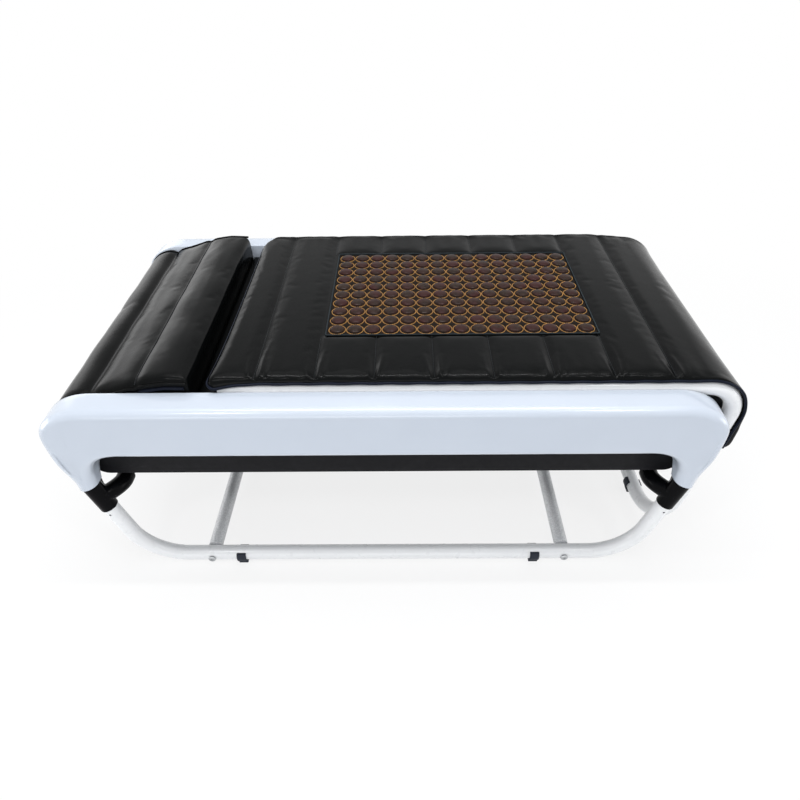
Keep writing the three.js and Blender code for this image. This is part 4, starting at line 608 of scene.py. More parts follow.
TONGUE_HALF, TONGUE_YS, TONGUE_ZS = 12, (-300, -294), (215, 355.7)
BORE_PAST, SOCKET_PAST = 20, 40


def leg_point(end, y, z):
    """A place on a base leg's middle line."""
    return np.array([end * (TIP_X + (z - TIP_Z) * math.tan(TILT)), y, z])


def leg_way(end):
    return np.array([end * math.sin(TILT), 0.0, math.cos(TILT)])


def screw_point(end, side, depth):
    """The middle of a set screw, some way in from the leg's outer skin."""
    return leg_point(end, side * (BASE_Y + TUBE_R - depth), TIP_Z) - leg_way(end) * SCREW_DOWN


def base_rail(name, side):
    """The tube of one long side, with both legs and the holes of their set screws."""
    turn = QUARTER - TILT
    tangent = LEG_BEND_R * math.tan(turn / 2)
    corner = TIP_X - (TIP_Z - BASE_Z) * math.tan(TILT)
    y = side * BASE_Y
    bend = arc((corner - tangent, y, BASE_Z), (1, 0, 0), (0, 0, 1), LEG_BEND_R, turn, 20)
    into_cover = 3
    foot_half = [*bend, leg_point(1, y, TIP_Z + into_cover)]
    head_half = [np.array([-x, y, z]) for x, y, z in reversed(foot_half)]
    rail = sweep(name, [*head_half, *foot_half], TUBE_R, 44)
    for end, _ in ENDS:
        drill = [(SCREW_HOLE_R, 0), (SCREW_HOLE_R, DRILL_LENGTH)]
        combine(rail, lathe("drill", drill, screw_point(end, side, SCREW_HOLE_DEPTH), (0, side, 0), 20))
    return rail


def set_screw(name, end, side):
    """The head of the small screw a little way down its hole."""
    seat = screw_point(end, side, SCREW_DEPTH)
    head = lathe(name, SCREW_PROFILE, seat, (0, side, 0), 20)
    x, y, z = seat + np.array([0, side, 0])
    combine(head, block("hex", around(x, HEX_HALF), sorted((y, y + side)), around(z, HEX_HALF)))
    return head


def cross_tube(name, x, z, reach, radius):
    return sweep(name, [(x, y, z) for y in np.linspace(-reach, reach, 9)], radius, 40)


for side, side_name in SIDES:
    dress(base_rail(side_name + "_base_tube", side), "tube_white", node=side_name + "_base_rail")
    for end, end_name in ENDS:
        dress(set_screw(f"{side_name}_{end_name}_set_screw", end, side), "gloss_black")
for end, end_name in ENDS:
    bar = cross_tube(end_name + "_cross_tube", end * CROSS_X, BASE_Z, BASE_Y - TUBE_R - SEAT, CROSS_R)
    dress(bar, "hammered_grey", node=end_name + "_cross_bar")
    tube = cross_tube(end_name + "_stretcher", end * STRETCHER_X, STRETCHER_Z, ARM_BEND_Y - SEAT, STRETCHER_R)
    dress(tube, "tube_white", node=end_name + "_stretcher_tube")


def bolt(name, end, side):
    """A domed bolt head with a cross cut into it."""
    start = BASE_Y + TUBE_R + SEAT
    head = lathe(name, BOLT_PROFILE, (end * CROSS_X, side * start, BASE_Z), (0, side, 0), 44)
    ys = sorted((side * (start + RECESS_IN), side * (start + RECESS_OUT)))
    for wide, tall in ((RECESS_LONG, RECESS_WIDE), (RECESS_WIDE, RECESS_LONG)):
        combine(head, block("recess", around(end * CROSS_X, wide / 2), ys, around(BASE_Z, tall / 2)))
    bevel(head, 0.25, 2, 35)
    return head


def clip_foot(name, x, y, tops, along_y=False):
    """A clip round the tube with a flat pad under it. tops are how far its two walls come up past the
    tube's middle, the one on the positive side first."""

    def wall(radius, start, stop, count, flip=1):
        return [(flip * radius * math.cos(t), radius * math.sin(t)) for t in np.linspace(start, stop, count)]

    bore = TUBE_R + SEAT
    low = -math.acos(CLIP_PAD / CLIP_R)
    outline = [
        *wall(CLIP_R, math.asin(tops[0] / CLIP_R), low, 18),
        (CLIP_PAD, -BASE_Z),
        (-CLIP_PAD, -BASE_Z),
        *wall(CLIP_R, low, math.asin(tops[1] / CLIP_R), 18, flip=-1),
        *wall(bore, -HALF_TURN - math.asin(tops[1] / bore), math.asin(tops[0] / bore), 32),
    ]
    middle, along, axis = (x, y, 1) if along_y else (y, x, 0)
    foot = extrude(name, [(middle + a, BASE_Z + b) for a, b in outline], *around(along, CLIP_HALF), axis)
    bevel(foot, 0.9, 3, 30)
    return foot


for side, end, label in CORNERS:
    dress(bolt(label + "_bolt_head", end, side), "steel", node=label + "_bolt")
    # The high wall is on the outer side.
    foot = clip_foot(label + "_floor_foot", end * FOOT_X, side * BASE_Y, (CLIP_HIGH, CLIP_LOW)[::side])
    dress(foot, "rubber_dark", node=label + "_foot_pad")


def leg_joint(name):
    """The joint of the front foot leg: a sleeve round the leg, an arm that bends in to the stretcher
    and a tongue up inside the cover. The fillets come from smoothing the joined solid."""
    way = leg_way(1)
    top = leg_point(1, -BASE_Y, TIP_Z) - way * SEAT
    low = top - way * SLEEVE_LENGTH
    joint = sweep(name, [lerp(top, low, share) for share in np.linspace(0, 1, 15)], SLEEVE_R, 48)
    turn, inner, mouth = (
        np.array([STRETCHER_X, -y, STRETCHER_Z]) for y in (ARM_BEND_Y + ARM_HANDLE, ARM_BEND_Y, ARM_MOUTH_Y)
    )
    curve = bezier([leg_point(1, -BASE_Y, STRETCHER_Z), turn, inner], 22)
    arm = sweep("arm", [*curve, *[lerp(inner, mouth, share) for share in (0.3, 0.6, 0.86)]], ARM_R, 48)
    combine(joint, arm, "UNION")
    combine(joint, block("tongue", around(TIP_X, TONGUE_HALF), TONGUE_YS, TONGUE_ZS), "UNION")
    grain = 0.0014
    modifier(joint, "REMESH", mode="VOXEL", voxel_size=grain, use_smooth_shade=True)
    modifier(joint, "SMOOTH", factor=0.5, iterations=5)
    settle(joint)
    combine(joint, sweep("bore", [top + way * BORE_PAST, low - way * BORE_PAST], TUBE_R + SEAT, 56))
    # A socket for the stretcher
    combine(joint, sweep("socket", [mouth + np.array([0, SOCKET_PAST, 0]), inner], STRETCHER_R + SEAT, 48))
    return joint


foot_joint = leg_joint("front_foot_joint")
for side, end, label in CORNERS:
    joint = foot_joint
    if label != "front_foot":
        joint = mirrored(foot_joint, label + "_joint", flip_x=end < 0, flip_y=side > 0)
    dress(joint, "gloss_black", node=label + "_leg_joint", angle=50)


# Side covers

BODY_HALF = 350.0
COVER_HALF, COVER_TOP_Z, COVER_LOW_Z = 618.0, 462.0, 350.0
COVER_DEPTH, COVER_TIP_DEPTH, COVER_WALL, COVER_TIP_STEP = 57.0, 46.0, 3.0, 13
COVER_ROUND, COVER_TIP_ROUND, COVER_BLEND_Z = 16.0, 19.4, 345
SHOULDER_X, SHOULDER_Z, SHOULDER_SHARE, FLANK_SHARE = 95, 67, 0.55, 0.35
TIP_HALF, TIP_ZS, ARCH_X = 20, (236, 223, 210), 488
LIP_YS, LIP_ZS = (-296, -236), (415, 470)
# How far the cutting shapes go past what they cut
PAST_X, PAST_YS, PAST_BACK = 640, (-380, -250), 5
PAST_TIP, PAST_TIP_DOWN = 45, 90


def cover_outline():
    """The outline in X and Z with, for each point, the way that leads in by one millimetre."""
    flat, wide = COVER_HALF - SHOULDER_X, COVER_TOP_Z - SHOULDER_Z
    handle = FLANK_SHARE * (wide - TIP_Z)
    tip_out, tip_in = TIP_X + TIP_HALF, TIP_X - TIP_HALF
    shoulder = [
        (flat, COVER_TOP_Z),
        (flat + SHOULDER_SHARE * SHOULDER_X, COVER_TOP_Z),
        (COVER_HALF, wide + SHOULDER_SHARE * SHOULDER_Z),
        (COVER_HALF, wide),
    ]
    flank = [(COVER_HALF, wide), (COVER_HALF, wide - handle), (tip_out, TIP_Z + handle), (tip_out, TIP_Z)]
    foot = [
        *bezier(shoulder, 20),
        *bezier(flank, 16)[1:],
        *[(tip_out, z) for z in TIP_ZS],
        *[(TIP_X + x, TIP_ZS[-1]) for x in (TIP_HALF / 2, -TIP_HALF / 2)],
        *[(tip_in, z) for z in reversed(TIP_ZS)],
        *bezier([(tip_in, TIP_Z), (566.0, 262), (562.5, 282)], 5),
        *bezier([(561.2, 290), (551.5, 322), (540, 350), (ARCH_X, COVER_LOW_Z)], 22),
    ]
    low_edge = [(x, COVER_LOW_Z) for x in np.linspace(ARCH_X, -ARCH_X, 60)[1:-1]]
    head = [(-x, z) for x, z in reversed(foot)]
    top_edge = [(x, COVER_TOP_Z) for x in np.linspace(-flat, flat, 60)[1:-1]]
    points = np.array([*foot, *low_edge, *head, *top_edge], float)
    steps = [unit(points - np.roll(points, 1, axis=0)), unit(np.roll(points, -1, axis=0) - points)]
    first, second = (np.column_stack([step[:, 1], -step[:, 0]]) for step in steps)
    return points, (first + second) / (1 + (first * second).sum(axis=1))[:, None]


def cover_solid(name, wall, back, steps):
    """The solid inside the outline, less a wall: a round outer edge, then straight in to the back."""
    points, into = cover_outline()
    share = 1 - smoothstep(points[:, 1], TIP_Z, COVER_BLEND_Z)
    radius = lerp(COVER_ROUND, COVER_TIP_ROUND, share) - wall
    rings = []
    for turn in np.linspace(0, QUARTER, steps + 1):
        depth = COVER_TIP_STEP * share + wall + radius * (1 - math.cos(turn))
        rings.append((wall + radius * (1 - math.sin(turn)), depth))
    rings += [(wall + 0 * share, lerp(rings[steps][1], back(share), part)) for part in (0.35, 0.7, 1.0)]
    layers = []
    for inset, depth in rings:
        moved = points + into * inset[:, None]
        layers.append(stack(moved[:, 0], depth - BODY_HALF, moved[:, 1]))
    return raw(name, layers, ring_faces(len(layers), len(points)))


def side_cover(name):
    """The front cover: a shell with an inner lip along its top, cut off square to the legs."""
    cover = cover_solid(name, 0, lambda share: lerp(COVER_DEPTH, COVER_TIP_DEPTH, share), 9)
    hollow = cover_solid("hollow", COVER_WALL, lambda share: 0 * share + COVER_DEPTH + PAST_BACK, 6)
    combine(hollow, block("lip", around(0, PAST_X), LIP_YS, LIP_ZS))
    combine(cover, hollow)
    for end, _ in ENDS:
        tip = np.array([end * TIP_X, 0.0, TIP_Z])
        across = np.array([math.cos(TILT), 0, -end * math.sin(TILT)])
        ways = ((-1, 0), (1, 0), (1, 1), (-1, 1))
        corners = [tip + across * a * PAST_TIP - leg_way(end) * b * PAST_TIP_DOWN for a, b in ways]
        combine(cover, extrude("below", [(x, z) for x, y, z in corners], *PAST_YS, 1))
    bevel(cover, 0.8)
    return cover


front_cover = side_cover("front_cover")
rear_cover = mirrored(front_cover, "rear_cover", flip_y=True)
for side_name, cover in (("front", front_cover), ("rear", rear_cover)):
    dress(cover, "gloss_white", node=side_name + "_side_cover", angle=32)


# Lower housing, end panels and the tube of the leg section

HOUSING_HALF, HOUSING_TOP_Z, HOUSING_LOW_Z, HOUSING_WALL = 582.0, 414.7, 254.7, 2.5
HOUSING_CORNER, HOUSING_SHOULDER = 30, 34
HOUSING_PAST_TOP = 4
INLET_XS, INLET_Y, INLET_Z, INLET_HALF_Y, INLET_HALF_Z = (-600, -560), 150, 318, 21.3, 15.3
PANEL_WALL = 3
KNEE_R, LEG_FOOT_X, LEG_FOOT_Y = 140.0, 599.543, 118


def housing_outline(inset, top):
    half, low = HOUSING_HALF - inset, HOUSING_LOW_Z + inset
    corner, shoulder = HOUSING_CORNER - inset, HOUSING_SHOULDER - inset
    shoulder_x, shoulder_z = half - shoulder, HOUSING_TOP_Z - HOUSING_SHOULDER
    turns = np.linspace(0, QUARTER, 13)
    right = [(shoulder_x, top)]
    right += [(shoulder_x + shoulder * math.sin(t), shoulder_z + shoulder * math.cos(t)) for t in turns]
    right += [(half - corner + corner * math.cos(t), low + corner - corner * math.sin(t)) for t in turns]
    return [*right, *[(-x, z) for x, z in reversed(right)]]


housing = extrude("housing_shell", housing_outline(0, HOUSING_TOP_Z), -DECK_Y, DECK_Y, 1)
inner_y = DECK_Y - HOUSING_WALL
inside = housing_outline(HOUSING_WALL, HOUSING_TOP_Z + HOUSING_PAST_TOP)
combine(housing, extrude("inside", inside, -inner_y, inner_y, 1))
combine(housing, block("inlet", INLET_XS, around(INLET_Y, INLET_HALF_Y), around(INLET_Z, INLET_HALF_Z)))
bevel(housing, 0.7)
dress(housing, "satin_black", node="lower_housing", angle=32)


def end_panel(name, end):
    """A quarter round over the deck's end, with a short straight drop."""
    middle_x, middle_z = end * (DECK_HALF + SEAT), DECK_Z - PANEL_R
    turns = np.linspace(0, QUARTER, 20)

    def edge(radius):
        curve = [(middle_x + end * radius * math.sin(t), middle_z + radius * math.cos(t)) for t in turns]
        return [*curve, (middle_x + end * radius, middle_z - PANEL_DROP)]

    panel = extrude(name, [*edge(PANEL_R), *reversed(edge(PANEL_R - PANEL_WALL))], -DECK_Y, DECK_Y, 1)
    bevel(panel, 0.6)
    return panel


dress(end_panel("head_end_cap", -1), "satin_black", node="head_end_panel", angle=32)
# The foot end cap wears painted shade: the blue-grey of a pale panel in shadow, not its own colour.
dress(end_panel("foot_end_cap", 1), "painted_shade_blue", node="foot_end_panel", angle=32)


def leg_tube(name):
    """The tube of the leg section, from one open end round the foot to the other."""
    down = np.array([-math.sin(LEG_TILT), 0, -math.cos(LEG_TILT)])
    straight = [np.array([x, -RAIL_Y, RAIL_Z]) for x in np.linspace(RAIL_HEAD_X, BEND_X, 24)]
    bend = arc(straight[-1], (1, 0, 0), (0, 0, -1), BEND_R, QUARTER + LEG_TILT, 24)[1:]
    knee = bend[-1] + down * ((bend[-1][2] - BASE_Z) / math.cos(LEG_TILT) - KNEE_R)
    leg = [lerp(bend[-1], knee, share) for share in (0.33, 0.66)]
    half = [*straight, *bend, *leg, *arc(knee, down, (0, 1, 0), KNEE_R, QUARTER, 22)]
    return sweep(name, [*half, *[np.array([x, -y, z]) for x, y, z in reversed(half)]], TUBE_R, 44)


dress(leg_tube("leg_section_tube"), "tube_white", "leg_section", "leg_frame")
for side, side_name in SIDES:
    place = LEG_FOOT_X, side * LEG_FOOT_Y
    pad = clip_foot(side_name + "_leg_pad", *place, (CLIP_LOW, CLIP_HIGH), along_y=True)
    dress(pad, "rubber_dark", "leg_section", side_name + "_leg_section_foot")


# Soft goods

HEM = 24
SWELL_FRAMES = 20


def swell(obj, held, pressure, cap):
    """Blows the form up like a filled cushion of slightly roomy cloth, with some points held, and keeps
    the result. No point moves further than cap millimetres."""
    group = obj.vertex_groups.new(name="held")
    group.add([int(i) for i in np.nonzero(held)[0]], 1.0, "REPLACE")
    cloth = modifier(obj, "CLOTH")
    tune(cloth.settings, quality=6, mass=0.25, tension_stiffness=12.0, compression_stiffness=12.0,
         shear_stiffness=6.0, bending_stiffness=0.35, air_damping=3.0, use_pressure=True,
         uniform_pressure_force=pressure, vertex_group_mass="held", shrink_min=-0.001)
    cloth.settings.effector_weights.gravity = 0.0
    cloth.collision_settings.use_collision = False
    tune(cloth.point_cache, frame_start=1, frame_end=SWELL_FRAMES)
    rest = read_points(obj.data)
    for moment in range(1, SWELL_FRAMES + 1):
        SCENE.frame_set(moment)
    graph = bpy.context.evaluated_depsgraph_get()
    step = read_points(obj.evaluated_get(graph).data) - rest
    length = np.linalg.norm(step, axis=1)
    step *= np.minimum(1, cap * MM / np.maximum(length, 1e-9))[:, None]
    obj.modifiers.clear()
    obj.vertex_groups.clear()
    write_points(obj.data, rest + step)
    SCENE.frame_set(1)


def smoother(obj, firm):
    """Subdivides the form once. Edges between two firm points stay sharp."""
    ends = np.empty(len(obj.data.edges) * 2, np.int32)
    obj.data.edges.foreach_get("vertices", ends)
    both = firm[ends.reshape(-1, 2)].all(axis=1)
    crease = obj.data.attributes.new("crease_edge", "FLOAT", "EDGE")
    crease.data.foreach_set("value", both.astype(np.float32))
    modifier(obj, "SUBSURF", levels=1, render_levels=1)
    settle(obj)


def mat_rows(half, count, inner, pitch):
    """Rows across a mat, closer together in its two hems."""
    hem = np.linspace(half - HEM, half, count)
    return [*-hem, *np.arange(-inner, inner + 1, pitch), *hem]


def sewn_mat(name, runs, rows, seams, surface, height, pressure, cap, flat=None):
    """A cushion from surface(run, y, 0) out to its height, sewn down along its hems and seams."""
    clear = [run for run in runs if all(abs(run - seam) > 3 for seam in seams)]
    mat, run, y, top = slab(name, [*clear, *seams], rows, lambda run, y: surface(run, y, height(run, y)),
                            lambda run, y: surface(run, y, 0))
    edge = (max(rows) - np.abs(y) < 1) | (run - min(runs) < 1) | (max(runs) - run < 1)
    held = ~top | edge | np.any([np.abs(run - seam) < 0.5 for seam in seams], axis=0)
    if flat is not None:
        held |= flat(run, y)
    swell(mat, held, pressure, cap)
    smoother(mat, ~top & edge)
    return mat


def piping(name, path, body, radius, paint="piping"):
    """The sewn cord along an edge."""
    dress(sweep(name, path, radius, 14), paint, body, angle=60)


# Head mat

HEAD_MAT_FOOT_X, HEAD_MAT_HALF = -345.0, 289.0
HEAD_FLAT_RUN = HEAD_MAT_FOOT_X + DECK_HALF + SEAT
HEAD_BEND_RUN = PANEL_R * QUARTER
HEAD_END_RUN = HEAD_FLAT_RUN + HEAD_BEND_RUN + PANEL_DROP
HEAD_SEAMS = (97.0, 189.0)
HEAD_PLACES = (0, 45, 97, 112, 150, 189, 230, HEAD_END_RUN)
HEAD_RISES = (65.5, 65.5, 59.5, 54, 41.5, 30.5, 28.5, 21)


def on_head(run, y, out):
    """A place over the deck and round the end panel, out from the head mat's underside."""
    out = out + SEAT
    turn = np.clip(run - HEAD_FLAT_RUN, 0, HEAD_BEND_RUN) / PANEL_R
    past = np.maximum(run - HEAD_FLAT_RUN - HEAD_BEND_RUN, 0)
    flat = run <= HEAD_FLAT_RUN
    x = np.where(flat, HEAD_MAT_FOOT_X - run, -DECK_HALF - SEAT - (PANEL_R + out) * np.sin(turn))
    z = np.where(flat, DECK_Z + out, DECK_Z - PANEL_R + (PANEL_R + out) * np.cos(turn) - past)
    return stack(x, y, z)


def head_height(run, y):
    """How far the top of the head mat stands off the deck, by place."""
    first, second = HEAD_SEAMS
    rise = np.interp(run, HEAD_PLACES, HEAD_RISES)
    dips = 4.5 * hump(run - first, 7.0) + 6.0 * hump(run - second, 8.0)
    crown = 2.0 * np.sin(np.clip(run / first, 0, 1) * HALF_TURN) - 1.5
    wave = 0.4 * np.sin(y / 31.0 + run / 47.0) + 0.3 * np.sin(y / 17.0 - run / 23.0)
    near = np.minimum(HEAD_MAT_HALF - np.abs(y), run)
    drop = np.where((y > 0) & (run > HEAD_MAT_HALF - y), 2.5, 11.0)
    return np.maximum(rise - dips + crown + wave - drop * (1 - round_edge(near, 20.0)), 9.0)


def head_line(places, lift):
    """Points a little off the top of the head mat."""
    return [on_head(run, y, head_height(run, y) + lift) for run, y in places]


head_runs = [*np.linspace(0, HEM, 6), *np.arange(30, HEAD_END_RUN - 4, 7.0), HEAD_END_RUN]
head_rows = mat_rows(HEAD_MAT_HALF, 6, 258, 7.5)
head_cushion = sewn_mat("head_cushion", head_runs, head_rows, HEAD_SEAMS, on_head, head_height, 1.3, 2.2)
dress(head_cushion, "leather_black", node="head_mat", angle=60)

for side, side_name in ((-1, "near"), (1, "far")):
    rim_runs = [HEAD_END_RUN - 3, *np.arange(HEAD_END_RUN - 9, 6, -6.0), 4]
    rim = head_line([(run, side * (HEAD_MAT_HALF + 0.4)) for run in rim_runs], 0.4)
    piping(f"head_{side_name}_piping", rim, "bed", 2.6, "leather_black")
    low_roll = [point - np.array([0, side * 0.6, 11.0]) for point in rim[:-1] if point[0] < -352]
    piping(f"head_{side_name}_lower_piping", low_roll, "bed", 3.4)
# The seam cords' lighter tone is a painted highlight along each seam.
for index, seam in enumerate(HEAD_SEAMS):
    valley = [(seam, y) for y in np.linspace(*around(0, HEAD_MAT_HALF - 4), 70)]
    piping(f"head_seam_{index + 1}", head_line(valley, 0.5), "bed", 1.0, "seam")


# Leg mat

LEG_MAT_HEAD_X, LEG_MAT_HALF, LEG_MAT_DROP = -305.0, 285.0, 78.0
LEG_MAT_END = BEND_X + BEND_RUN + LEG_MAT_DROP
LEG_MAT_BASE = TUBE_R + SEAT
LEG_MAT_THICK, BEND_THICK, TAIL_THICK = 17.0, 6.0, 18.0
LEG_SEAM_FIRST, LEG_SEAM_PITCH, LEG_SEAM_COUNT = 77, 107, 8
LEG_SEAMS = [LEG_MAT_HEAD_X + LEG_SEAM_FIRST + LEG_SEAM_PITCH * i for i in range(LEG_SEAM_COUNT)]
PANEL_SLOPE = 6.0
FAR_HEM_Y = 250


def slide_place(run, out):
    """The middle line of the leg section's tube, round its bend, moved out."""
    turn = np.clip(run - BEND_X, 0, BEND_RUN) / BEND_R
    past = np.maximum(run - BEND_X - BEND_RUN, 0)
    x = np.minimum(run, BEND_X) + (BEND_R + out) * np.sin(turn) - past * math.sin(LEG_TILT)
    z = RAIL_Z - BEND_R + (BEND_R + out) * np.cos(turn) - past * math.cos(LEG_TILT)
    return x, z


def in_panel(run, y, grow=0.0):
    """One under the stone panel, nothing away from it."""
    past_edge = np.maximum(np.abs(run - STONE_X) - PANEL_HALF_X, np.abs(y - STONE_Y) - PANEL_HALF_Y)
    return np.clip((0.6 + grow + PANEL_SLOPE - past_edge) / PANEL_SLOPE, 0, 1)


def leg_height(run, y):
    """How far the top of the leg mat stands off the tubes' tops, by place."""
    past = run - BEND_X - BEND_RUN
    plain = lerp(LEG_MAT_THICK, BEND_THICK, smoothstep(run, BEND_X - 107, BEND_X + BEND_RUN / 2))
    full = lerp(plain, TAIL_THICK, smoothstep(past, -40, 40))
    panel = in_panel(run, y)
    nearest = np.min([np.abs(run - seam) for seam in LEG_SEAMS], axis=0)
    hem = np.minimum(LEG_MAT_HALF - np.abs(y), run - LEG_MAT_HEAD_X)
    ripple = 0.6 * np.exp(-hem / 38.0) * hump(nearest, 17.0) * np.cos(nearest / 2.7)
    ripple += 0.7 * np.exp(-hem / 34.0) * np.sin(run / 6.1 + 1.7 * np.sin(run / 29.0) + 0.012 * y)
    pinch = (hump(nearest, 4.0) + 0.3 * hump(nearest, 15.0)) * (1 + 0.5 * np.exp(-hem / 45.0))
    pinch = np.where(run > BEND_X - 30, 0, pinch)
    surface = full - 3.0 * pinch * (1 - panel) + ripple
    far = (y > 0) & (run - LEG_MAT_HEAD_X > LEG_MAT_HALF - y)
    near_edge = lerp(8.5, 16.0, smoothstep(past, -10, 60))
    edge = np.where(far, np.maximum(full - 1.0, 3.0), np.minimum(near_edge, full))
    top = edge + (surface - edge) * round_edge(hem, 20.0) + np.where(far, 2.5 * np.exp(-hem / 9.0), 0)
    tail = round_edge(LEG_MAT_END - run, 9.0)
    return np.maximum(top * lerp(0.5, 1.0, tail) - 4.6 * panel, 2.0)


def leg_corner(run, y):
    """The mat's two head corners are round in plan. The near one reaches out past the tube, and its hem
    hangs a little over the tube's side. Returns the moved run, the drop and how far the hem goes out."""
    along = np.clip(run - LEG_MAT_HEAD_X, 0, None)
    side = np.clip(LEG_MAT_HALF - np.abs(y), 0, None)
    near = np.asarray(y) < 0
    radius = np.where(near, 16.0, 40.0)
    cut = radius - np.sqrt(np.clip(radius**2 - np.clip(radius - side, 0, None) ** 2, 0, None))
    reach = np.where(near, 11.0, 0.0) * np.exp(-side / 70)
    moved = run + (cut - reach) * np.clip(1 - along / 100, 0, 1) ** 2
    hang = np.where(near, np.clip(1 - along / 90, 0, 1) ** 2, 0)
    past_tube = smoothstep(-303 - moved, 0, 12)
    drop = 5.6 * hang * np.exp(-side / 4) + 2.6 * near * past_tube * np.exp(-side / 50)
    return moved, drop, 6.6 * hang * np.exp(-side / 30)


def on_leg(run, y, out):
    """A place on the leg mat, out from its underside. Its far hem reaches a little further out."""
    moved, drop, outward = leg_corner(run, y)
    x, z = slide_place(moved, LEG_MAT_BASE + out)
    wider = np.where(np.asarray(y) > FAR_HEM_Y, (np.asarray(y) - FAR_HEM_Y) * 0.09, -outward)
    return stack(x, y + wider, z - drop)


def pucker_hem(mat):
    """Short folds beside every seam's end, where the stitching gathers the leather at the near hem."""
    points = read_points(mat.data)
    run, y, z = (points[:, 0] - SHIFT) / MM, points[:, 1] / MM, points[:, 2] / MM
    hem = y + LEG_MAT_HALF
    free = (z > RAIL_Z + LEG_MAT_BASE + 5) & (run < BEND_X - 20) & (hem > 0) & (hem < 150)
    rise = np.zeros(len(run))
    for index, seam in enumerate(LEG_SEAMS):
        for offset, height, length in ((-10.0, 1.9, 52.0), (8.0, 2.4, 70.0), (20.0, 1.1, 34.0)):
            height *= 1 + 0.35 * math.sin(2.3 * index + offset)
            middle = seam + offset * (1 + hem / 160) + 2.5 * np.sin(hem / 23 + 1.7 * index + offset)
            rise += height * hump(run - middle, 3.4) * hump(hem, length)
        rise -= 1.2 * hump(run - seam, 2.6) * hump(hem, 60)
    rise *= smoothstep(hem, 1, 8)
    points[:, 2] += np.where(free, rise, 0) * MM
    write_points(mat.data, points)


leg_runs = [
    *np.linspace(LEG_MAT_HEAD_X, LEG_MAT_HEAD_X + HEM, 7),
    *np.arange(-275.5, BEND_X, 5.0),
    *np.linspace(BEND_X, BEND_X + BEND_RUN, 16),
    *np.linspace(BEND_X + BEND_RUN, LEG_MAT_END, 14),
]
leg_rows = mat_rows(LEG_MAT_HALF, 7, 255, 7.0)
leg_cushion = sewn_mat("leg_cushion", leg_runs, leg_rows, LEG_SEAMS, on_leg, leg_height, 0.9, 1.6,
                       lambda run, y: in_panel(run, y, 2.0) > 0.4)
pucker_hem(leg_cushion)
dress(leg_cushion, "leather_black", "leg_section", "leg_mat", angle=60)


def leg_rim(side):
    runs = [LEG_MAT_END - 2, *np.arange(LEG_MAT_END - 8, LEG_MAT_HEAD_X + 6, -6.0), LEG_MAT_HEAD_X + 2]
    points = [on_leg(run, side * LEG_MAT_HALF, 3.2 + 0.5 * math.sin(run / 9)) for run in runs]
    return [point + np.array([0, side * 0.6, 0]) for point in points]


from_side = [0.1, 0.8, 2, 4, 7, 11, 16, 22, 30, *np.arange(40, 285, 10)]
hem_rows = sorted({round(side * (LEG_MAT_HALF - away), 3) for away in from_side for side in (-1, 1)})
head_hem = [on_leg(LEG_MAT_HEAD_X, y, 3.2) - np.array([0.4, 0, 0]) for y in hem_rows]
piping("leg_rim_piping", [*leg_rim(-1), *head_hem, *reversed(leg_rim(1))], "leg_section", 2.7)
seam_reach = LEG_MAT_HALF - 6
panel_low, panel_high = around(STONE_Y, PANEL_HALF_Y + 3)
# The seam cords' lighter tone is a painted highlight along each seam.
for index, seam in enumerate(LEG_SEAMS):
    spans = [(-seam_reach, panel_low, 24), (panel_high, seam_reach, 24)]
    if index in (0, LEG_SEAM_COUNT - 1):
        spans = [(-seam_reach, seam_reach, 60)]
    for part, span in enumerate(spans):
        valley = [on_leg(seam, y, leg_height(seam, y) + 0.4) for y in np.linspace(*span)]
        piping(f"leg_seam_{index + 1}_{part + 1}", valley, "leg_section", 0.75, "seam")


# Main mat, with the slot for the rollers, and the stretch cover over that slot

MAT_TOP_Z, MAT_EDGE, MAT_HEAD_X, MAT_HALF = 434.0, 3.4, -344, 292
SLOT_X, SLOT_HALF = (-298, 476), 118
NOTCH_X, NOTCH_Y = (345, 529), 258
CLOTH_Z, CLOTH_THICK, CLOTH_GAP = 432.9, 1.0, 0.4


def past_slot(x, y):
    """How far a place is from the slot, and less than nothing in it."""
    return np.maximum(np.maximum(SLOT_X[0] - x, x - SLOT_X[1]), np.abs(y) - SLOT_HALF)


def past_notch(x, y):
    return np.maximum(np.maximum(NOTCH_X[0] - x, x - NOTCH_X[1]), NOTCH_Y - np.abs(y))


def mat_top(x, y):
    rim = np.minimum(np.minimum(x - MAT_HEAD_X, DECK_HALF - x), MAT_HALF - np.abs(y))
    near = np.maximum(np.minimum(np.minimum(rim, past_slot(x, y)), past_notch(x, y)), 0)
    return MAT_TOP_Z - MAT_EDGE * (1 - round_edge(near, 7.0)) - 0.3 * (1 + np.sin(x / 37) * np.sin(y / 29))


def cloth_top(x, y):
    return CLOTH_Z + 0.35 * np.sin(x / 61.0) * np.cos(y / 48.0)


# Rows and columns lie closer beside every edge.
mat_xs = [MAT_HEAD_X, *np.linspace(-342.5, -338, 4), *np.arange(-330, -304, 8), -302, -299.5, SLOT_X[0]]
mat_xs += [*np.arange(-290, 340, 12), 339, 343, NOTCH_X[0], *np.arange(352, 474, 8), SLOT_X[1], 478, 481]
mat_xs += [*np.arange(488, 528, 8), NOTCH_X[1], 531, 535, 541, 545, DECK_HALF]
mat_ys = [SLOT_HALF, 119.5, 122, 126, *np.arange(134, 250, 8), 252, 255.5, 257, NOTCH_Y, 259, 262, 266]
mat_ys += [*np.arange(272, 284, 4), 286, 289, 291, MAT_HALF]
mat_ys = [*mat_ys, *[-y for y in mat_ys], *np.arange(-112, 113, 8)]
main_pad = plan_sheet("main_pad", mat_xs, mat_ys, mat_top, lambda x, y: DECK_Z + SEAT,
                      lambda x, y: (past_slot(x, y) > 0) & (past_notch(x, y) > 0))
dress(main_pad, "leather_black", node="main_mat", angle=50)
cloth_xs = np.linspace(SLOT_X[0] + CLOTH_GAP, SLOT_X[1] - CLOTH_GAP, 110)
cloth_ys = np.linspace(*around(0, SLOT_HALF - CLOTH_GAP), 40)
